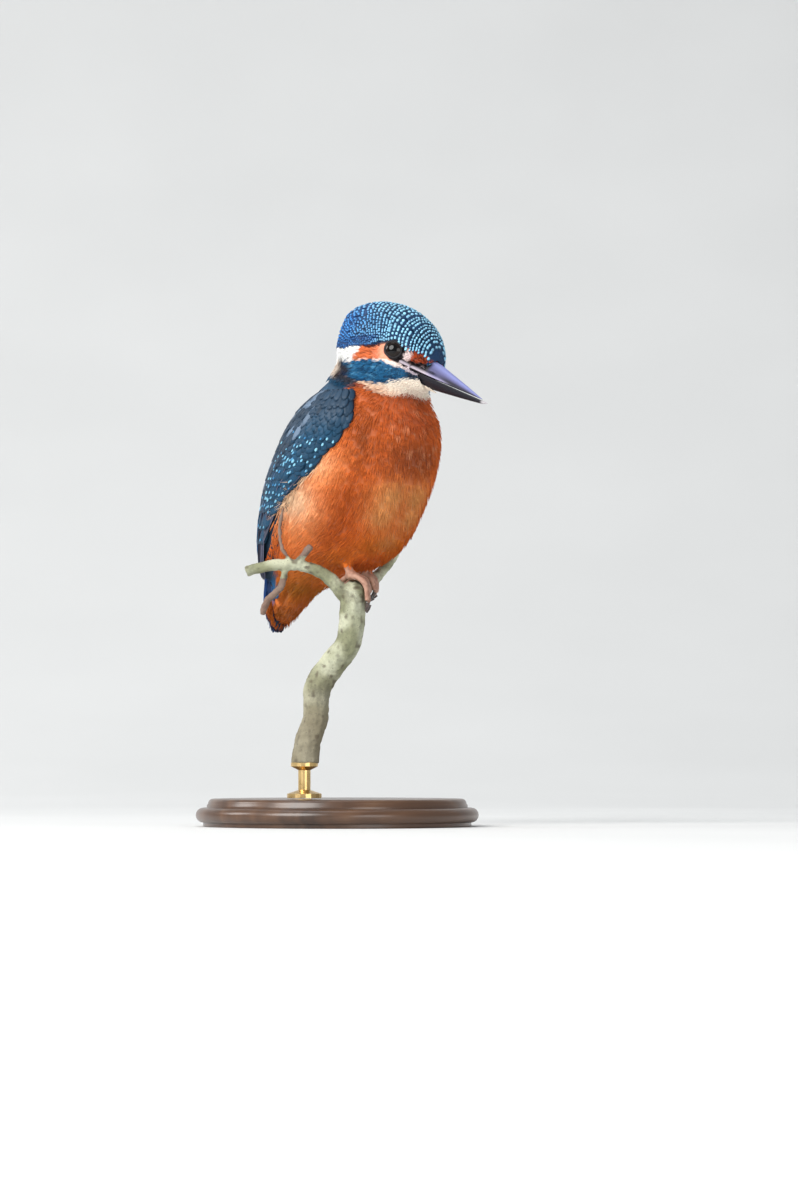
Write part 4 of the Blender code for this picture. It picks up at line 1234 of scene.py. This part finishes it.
def wingGrid(first, last, rows, many, edge, back):  # staggered rows from first to last along the wing
    across, down = [], []
    for i in range(rows):
        share = i / max(rows - 1, 1)
        low = edge[0] + (edge[1] - edge[0]) * share
        high = back[0] + (back[1] - back[0]) * share
        count = int(many[0] + (many[1] - many[0]) * share)
        for j in range(count):
            across.append(low + (high - low) * (j + 0.5 * (i % 2)) / count)
            down.append(first + (last - first) * share)
    return np.array(across), np.array(down)


# from and to along the wing, rows, feathers a row, front and back reach, length, width, lift, share with
# a pale spot, softness: how much painted shade darkens each feather's root
covertSet = {
    "lesser": (0.0, 0.36, 18, (10, 16), (0.0, 0.0), (0.95, 0.85), 5.4, 3.1, 0.6, 0.45, 0.04),
    "median": (0.34, 0.54, 8, (15, 14), (0.0, 0.0), (0.9, 0.85), 6.2, 3.3, 0.55, 0.6, 0.08),
    "greater": (0.54, 0.66, 3, (14, 10), (0.0, 0.02), (0.85, 0.7), 8.0, 3.2, 0.5, 0.3, 0.14),
}
spotSet = {"at": 0.8, "length": 1.05, "width": 0.72,
           "profile": ((0, 0.5), (0.35, 1.0), (0.75, 0.9), (1.0, 0.35))}
quillSet = {"many": 17, "start": 0.42, "width": 4.4, "low": 0.1, "rise": 0.14, "tilt": 0.2}
scapularSet = {"to": 0.44, "rows": 11, "many": (6, 8), "front": (0.5, 0.56), "back": (1.15, 1.12),
               "length": 9.5, "width": 3.6, "lift": 0.8, "pale": 0.25}


def wingCoat(word, side):
    rng = np.random.default_rng(31)
    t = np.array([q[0] for q in quillProfile])
    rows = []
    for i in range(quillSet["many"]):  # from the front edge's long primaries to the short tertials on top
        share = i / (quillSet["many"] - 1)
        root = 0.04 + 0.92 * share
        end = min(1.0, 1.0 - 0.33 * max(0.0, share - 0.25) ** 1.1)
        tip = 0.5 + (root - 0.5) * 0.62 if share < 0.5 else root - 0.06 * (1 - share)
        rows.append(onWing(root + (tip - root) * t ** 1.5,
                           quillSet["start"] + (end - quillSet["start"]) * t, side))
    share = np.linspace(0, 1, len(rows))
    web = mix(tones["quill"], tones["quillBlue"], smooth((share - 0.42) / 0.3))
    rim = mix(tones["quillEdge"], tones["quillRim"], smooth((share - 0.42) / 0.2))
    quillFan("wing_quills_" + word, np.stack(rows), quillSet["width"],
             quillSet["low"] + quillSet["rise"] * share, quillSet["tilt"], web, rim)

    for label, values in covertSet.items():
        first, last, rowCount, many, edges, backs, length, width, high, spots, soft = values
        across, down = wingGrid(first, last, rowCount, many, edges, backs)
        across = across + rng.normal(0, 0.012, len(across))
        roots = onWing(across, down, side)
        count = len(roots)
        base = mix(tones["covert"], tones["scapular"], smooth((across - 0.3) / 0.35))
        base = mix(base, tones["scapular"], smooth((0.2 - down) / 0.16) * 0.8)
        base = base * (1 + rng.normal(0, 0.12, (count, 1)))
        size = length * (1 + rng.normal(0, 0.07, count))
        lift = lambda t, high=high: -0.6 * (1 - t) + high + 0.08 * t
        lie = wingLie(side, across, down)
        laid = vanePiece("wing_" + label + "_" + word, roots, lie, size, np.full(count, width), lift, base,
                         base * 1.1, 40, soft=soft)
        chosen = rng.random(count) < spots * smooth((down - 0.14) / 0.16) * smooth((0.7 - across) / 0.25)
        tipRoots = pointOn(laid[0], spotSet["at"])[chosen]
        tipWay = unit(pointOn(laid[2], spotSet["at"]))[chosen]
        fixed = lambda points, normals, tipWay=tipWay: flattened(tipWay, normals)
        pale = mix(tones["covertSpot"], tones["quillRim"], rng.random(chosen.sum()) ** 1.5)
        spotLift = lambda t, high=high: high + 0.13 + 0.06 * t
        small = rng.normal(1, 0.2, chosen.sum())
        vanePiece("wing_" + label + "_spots_" + word, tipRoots, fixed, spotSet["length"] * small,
                  spotSet["width"] * small, spotLift, pale, pale, 41, spotSet["profile"], 0.1, 0.2)
    across, down = wingGrid(0.0, scapularSet["to"], scapularSet["rows"], scapularSet["many"],
                            scapularSet["front"], scapularSet["back"])
    across = across + rng.normal(0, 0.02, len(across))
    roots = onWing(across, down, side)
    count = len(roots)
    # lighter towards the back edge: painted rim light; some scapulars are also paler at random
    base = mix(tones["scapular"], tones["scapularPaleAndRimLight"], smooth((across - 0.8) / 0.35) * 0.5)
    base = mix(base, tones["scapularPaleAndRimLight"], (rng.random(count) < scapularSet["pale"]) * 0.5)
    base = base * (1 + rng.normal(0, 0.1, (count, 1)))
    lift = lambda t: -0.55 * (1 - t) + scapularSet["lift"]
    vanePiece("wing_scapulars_" + word, roots, wingLie(side, across, down),
              np.full(count, scapularSet["length"]), np.full(count, scapularSet["width"]), lift, base,
              base * 1.25, 43, soft=0.12)
    print("wing", word)


for wingWord, wingSide in (("right", 1), ("left", -1)):
    wingCoat(wingWord, wingSide)


# tail: a narrow fan, the middle pair on top
tailSet = {"feathers": 10, "reach": 6.0, "width": 4.6, "root": 6.0, "crown": 0.9, "half": 7.5, "thick": 1.8,
           "tilt": 0.12, "round": 4.2}


def onTail(up, aside, face, proud):  # on the tail plate: face 1 is its underside
    crowned = tailPlate(up) + tailSet["crown"] * (aside / tailSet["half"]) ** 2
    return np.stack((crowned + face * (tailSet["thick"] / 2 + proud), up, aside), -1)


def tailCoat():
    bottom, top = nodePoints("tail")[:, 1].min(), tailSet["root"]
    t = np.array([q[0] for q in quillProfile])
    place = np.linspace(-1, 1, tailSet["feathers"])
    for word, face in (("upper", -1), ("under", 1)):
        rows = []
        for share in place:
            up = top + (bottom + tailSet["round"] * share * share - top) * t
            rows.append(onTail(up, share * tailSet["reach"] * (0.95 - 0.2 * t * t), face, 0.05))
        line = np.stack(rows)
        web = np.tile(tones["tail"] if face < 0 else tones["quill"] * 0.8, (len(rows), 1))
        rim = web * (1.5 if face < 0 else 1.2)
        half = len(rows) // 2
        for side, part in (("left", slice(None, half)), ("right", slice(None, half - 1, -1))):
            heights = 0.05 + 0.3 * (1 - np.abs(place[part]))
            quillFan("tail_" + word + "_" + side, line[part], tailSet["width"], heights, tailSet["tilt"],
                     web[part], rim[part])
    print("tail")


# the orange feathers that hide the underside of the tail
undertailSet = {"stepUp": 0.6, "stepAside": 0.7, "half": 6.3, "length": 4.0, "width": 1.7, "strands": 7,
                "thick": 0.27}


def undertailCoat():
    bottom = nodePoints("tail")[:, 1].min()
    rng = np.random.default_rng(71)
    half, many = undertailSet["half"], undertailSet["strands"]
    up, aside = np.meshgrid(np.arange(bottom + 4.0, -5.0, undertailSet["stepUp"]),
                            np.arange(-half, half + 0.1, undertailSet["stepAside"]), indexing="ij")
    up, aside = up.ravel() + rng.normal(0, 0.2, up.size), aside.ravel() + rng.normal(0, 0.15, aside.size)
    keep = up - 3.6 > bottom + tailSet["round"] * (aside / 6.4) ** 2
    up, aside = up[keep], aside[keep]
    length = undertailSet["length"] * (1 + rng.normal(0, 0.05, len(up)))
    stops = np.array((0.0, 0.5, 1.0))
    inwards = 1 - 0.05 * smooth((-6 - up) / 6)[:, None] * (1 + stops)
    spine = onTail(up[:, None] - length[:, None] * stops, aside[:, None] * inwards, 1, 0.25)
    way = unit(np.gradient(spine, axis=1))
    normal = np.broadcast_to(np.array((1.0, 0.0, 0.0)), spine.shape)
    lift = lambda t: 0.3 * np.sin(np.pi * np.clip(t, 0, 1) * 0.85)
    widths = np.full(len(up), undertailSet["width"])
    rings, place = strands(spine, normal, way, widths, many, undertailSet["thick"], lift, 72, 0.08)
    base = underside(spine[:, 1]) * (1 + rng.normal(0, 0.05, (len(up), 1)))
    # strands darker at the root: painted shade deep in the coat
    tints = np.repeat(base, many, axis=0)[:, None] * np.array((0.85, 1.0, 1.04))[None, :, None]
    tuftMesh("coat_undertail", spine[:, 0], rings, place, tints)


tailCoat()
undertailCoat()


# eyes
eyeSet = {"around": 96, "high": 64, "pupil": 21, "edge": 2}  # the pupil's half angle and its edge, degrees


def makeEyes():
    finish = Finish("eye", Roughness=0.05, Specular_IOR_Level=0.3)
    finish.feed("Base Color", finish.tint())
    for name, side in (("eye_right", 1), ("eye_left", -1)):
        ball = bmesh.new()
        middle = nodeMiddle(name)
        bmesh.ops.create_uvsphere(ball, u_segments=eyeSet["around"], v_segments=eyeSet["high"],
                                  radius=lidSet["ball"] * mm,
                                  matrix=Matrix.Translation(Vector(toWorld(middle))))
        mesh = meshFrom(ball, name)
        reach = unit(toHead(birdPoints(mesh)) - toHead(middle))
        angle = np.degrees(np.arccos(np.clip(reach @ eyeAxis(side), -1, 1)))
        tints = mix(colour(4, 4, 5), colour(24, 15, 11), smooth((angle - eyeSet["pupil"]) / eyeSet["edge"]))
        addPiece(name + "_ball", mesh, finish.material, [name], tints)


# bill
billSet = {"swell": 0.0, "voxel": 0.2, "rounds": 3}


def billFinish():
    finish = Finish("bill", Roughness=0.45, Specular_IOR_Level=0.3)
    fine = finish.noise(900, 4.0, (1, 1, 1), 0.6)
    streak = finish.noise(500, 3.0, (1, 0.25, 1), 0.5)
    finish.shaded(fine * 0.25 + streak * 0.2 + 0.78)
    finish.feed("Roughness", fine * 0.3 + 0.36)
    finish.bump(streak, 0.3, 0.1 * mm)
    return finish.material


def makeBill():
    material = billFinish()
    for name in ("bill_upper", "bill_lower"):
        mesh = remeshedNode(name, **billSet)
        h = toHead(birdPoints(mesh))
        f, u, r = h[:, 0], h[:, 1], np.abs(h[:, 2])
        nostril = np.exp(-((f - 12.4 - (u + 2.0) * 0.5) / 1.5) ** 2 - ((u + 2.35) / 0.32) ** 2) * (r > 1)
        if name == "bill_upper":
            h[:, 2] -= np.sign(h[:, 2]) * nostril * 0.5
            ridge, mouth = np.interp(f, (10.1, 34.9), (2.3, -2.9)), np.interp(f, (0, 38), (-4.3, -2.9))
            down = (ridge - u) / (ridge - mouth)
            # a pale stripe along the cutting edge, fading towards the tip: a painted highlight on the edge
            stripe = smooth(1 - np.abs(down - 0.92) / 0.17) * (1 - smooth((f - 16) / 6))
            out = layered(
                # pale lavender along the ridge, darker down the side: a painted reflection of the light on
                # the bill's glossy top
                colour(128, 134, 188), (colour(92, 92, 134), smooth((down - 0.15) / 0.4)),
                (colour(30, 28, 46), smooth((down - 0.42) / 0.3) * (0.5 + 0.5 * smooth((f - 14) / 6))),
                (colour(20, 17, 24), smooth((down - 0.2) / 0.25) * smooth((11.6 - f) / 1.6)),
                (mix(tones["gapeGrey"], colour(150, 144, 176), smooth((f - 9) / 5)), stripe * 0.9),
                (colour(22, 20, 30), nostril * 0.9))
        else:
            out = colour(20, 19, 28)
        setPoints(mesh, fromHead(h))
        addPiece(name + "_horn", mesh, material, [name],
                 mix(out, colour(176, 172, 176), smooth((f - 33.6) / 1.2)))


# claws
clawSet = {"swell": 0.1, "voxel": 0.12, "rounds": 4}


def makeClaws():
    finish = Finish("claw", Roughness=0.35)
    finish.ramp(finish.noise(700, 2.0), (0.3, (0.02, 0.016, 0.016)), (0.75, (0.09, 0.06, 0.05)))
    for name in sorted(nodes):
        if name.startswith("claw_"):
            addPiece(name + "_horn", remeshedNode(name, **clawSet), finish.material, [name])


# branch
def barkFinish():
    finish = Finish("bark", Roughness=0.85)
    broad = finish.noise(110, 4.0, (1, 1, 1), 0.6)
    fine = finish.noise(900, 5.0, (1, 1, 1), 0.65)
    tint = finish.tint()
    lichen = (fine * 0.6 + broad * 0.7).above(0.62, 0.2)
    pale = finish.blend(lichen * 0.8, tint, finish.blend(1.0, tint, (1.6, 1.6, 1.55, 1), "MULTIPLY"))
    flecks = finish.noise(1500, 2.0).above(0.68, 0.06)
    finish.feed("Base Color", finish.blend(flecks * 0.6, pale, (0.1, 0.09, 0.07, 1)))
    finish.bump(fine * 0.7 + broad * 0.3, 0.7, 0.4 * mm)
    return finish.material


perchSet = {"swell": 0.05, "voxel": 0.45, "rounds": 3}


def makePerch():
    mesh = remeshedNode("perch", **perchSet)
    points = birdPoints(mesh)
    rough = grain(points, 2.6, 1) * 0.22 + grain(points, 1.1, 2) * 0.12
    rings = np.abs(grain(points * (0.3, 1, 0.3), 1.4, 4))
    points = points + birdNormals(mesh) * (rough - (1 - smooth(rings * 3)) * 0.12)[:, None]
    points[:, 1] -= 0.5 * smooth((points[:, 1].min() + 1.5 - points[:, 1]) / 1.5)
    setPoints(mesh, points)
    up, right = points[:, 1], points[:, 2]
    out = layered(colour(112, 114, 90), (colour(158, 160, 140), smooth(grain(points, 5.0, 6) * 0.9 + 0.5)),
                  (colour(108, 98, 84), smooth((-24 - up) / 24) * 0.7),
                  (colour(70, 62, 50), smooth(grain(points, 1.6, 9) * 1.8 - 0.5) * 0.8))
    thin = (right > 16.5) & (up > -14) & ((up > 7.2) | (up < 0.2))
    out[thin] = mix(out, colour(98, 72, 66), 0.85)[thin]
    knee = spot(points, (3, -5, 7), (6, 3.5, 6)) * smooth(grain(points, 1.2, 12) * 2 + 0.4)
    addPiece("perch_bark", mesh, barkFinish(), ["perch"], mix(out, colour(74, 68, 52), knee * 0.8))


# stand: foot, step and roundIn are mm in from the rim, plinth and stepTop heights, bead and round radii
standSet = {"foot": 2.7, "plinth": 1.3, "bead": 2.4, "step": 3.6, "stepTop": 6.9, "round": 1.6,
            "roundIn": 5.6, "segments": 128}


def standFinish():
    finish = Finish("stand_wood", Roughness=0.35, Coat_Weight=0.4, Coat_Roughness=0.2)
    rings = finish.node("ShaderNodeTexNoise", None, {
        "Vector": finish.mapped((9, 70, 40)), "Scale": 1.0, "Detail": 6.0, "Distortion": 1.2}).outputs["Fac"]
    finish.ramp(rings, (0.3, (0.035, 0.016, 0.008)), (0.55, (0.09, 0.042, 0.02)),
                (0.75, (0.15, 0.075, 0.035)))
    finish.bump(rings, 0.12, 0.3 * mm)
    return finish.material


def arc(x, z, radius, start, end, steps):  # points from one angle to another, in degrees
    angles = (math.radians(start + (end - start) * i / steps) for i in range(steps + 1))
    return [(x + radius * math.cos(a), z + radius * math.sin(a)) for a in angles]


def lineForm(points):  # a bmesh with one open line
    form = bmesh.new()
    verts = [form.verts.new(p) for p in points]
    return form, verts, [form.edges.new(pair) for pair in zip(verts[:-1], verts[1:])]


def turned(name, profile, middle, material):  # a closed profile (radius, height) in mm, spun
    form, verts, edges = lineForm([(r * mm, 0, z * mm) for r, z in profile])
    bmesh.ops.spin(form, geom=verts + edges, cent=(0, 0, 0), axis=(0, 0, 1), angle=math.tau,
                   steps=standSet["segments"], use_merge=True)
    bmesh.ops.remove_doubles(form, verts=form.verts, dist=0.001 * mm)
    bmesh.ops.recalc_face_normals(form, faces=form.faces)
    bmesh.ops.translate(form, verts=form.verts, vec=middle)
    piece = addPiece(name, meshFrom(form, name), material, [name.replace("_turned", "")])
    piece.data.set_sharp_from_angle(angle=math.radians(40))




def makeStand():
    low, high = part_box("stand_base")
    radius, thick = (high.x - low.x) / 2 / mm, (high.z - low.z) / mm
    bead, edge, plinth = standSet["bead"], standSet["round"], standSet["plinth"]
    step = radius - standSet["step"]
    profile = [(0, 0), (radius - standSet["foot"], 0), (radius - bead, standSet["foot"] - bead),
               (radius - bead, plinth), *arc(radius - bead, plinth + bead, bead, -90, 90, 8),
               (step, plinth + 2 * bead), (step, standSet["stepTop"]),
               *arc(radius - standSet["roundIn"], thick - edge, edge, 0, 90, 6), (0, thick)]
    turned("stand_base_turned", profile, ((low.x + high.x) / 2, (low.y + high.y) / 2, low.z), standFinish())
    brass = Finish("stand_brass", Roughness=0.28, Metallic=1.0)
    worn = brass.noise(240, 4.0)
    brass.ramp(worn, (0.35, (0.62, 0.42, 0.17)), (0.7, (0.80, 0.58, 0.27)))
    brass.feed("Roughness", worn * 0.3 + 0.14)
    rod = nodes["stand_rod"].data.materials
    rod.clear()
    rod.append(brass.material)


# floor, in metres: it runs level under the bird and curves up behind it
floorSet = {"front": -4.0, "bend": 0.5, "curve": 1.3, "top": 5.0, "half": 5.0}


def makeFloor():
    finish = Finish("floor", Roughness=0.8)
    finish.ramp(finish.noise(6, 2.0), (0.3, (0.72, 0.73, 0.73)), (0.7, (0.75, 0.76, 0.76)))
    bend, curve, half = floorSet["bend"], floorSet["curve"], floorSet["half"]
    profile = [(floorSet["front"], 0.0), (bend, 0.0), *arc(bend, curve, curve, -90, 0, 16)[1:],
               (bend + curve, floorSet["top"])]
    floor, _, edges = lineForm([(x, -half, z) for x, z in profile])
    swept = bmesh.ops.extrude_edge_only(floor, edges=edges)["geom"]
    moved = [v for v in swept if isinstance(v, bmesh.types.BMVert)]
    bmesh.ops.translate(floor, verts=moved, vec=(0, 2 * half, 0))
    bmesh.ops.rotate(floor, verts=floor.verts, cent=(0, 0, 0),
                     matrix=Matrix.Rotation(viewSet["azimuth"] + math.pi / 2, 3, "Z"))
    bmesh.ops.recalc_face_normals(floor, faces=floor.faces)
    mesh = meshFrom(floor, "floor")
    smoothFaces(mesh)
    mesh.materials.append(finish.material)
    linked("floor", mesh)


print("eyes, bill, claws")
makeEyes()
makeBill()
makeClaws()
print("branch and stand")
makePerch()
makeStand()
print("studio")
makeCamera()
makeLamps()
makeFloor()

bpy.data.meshes.remove(formMesh)
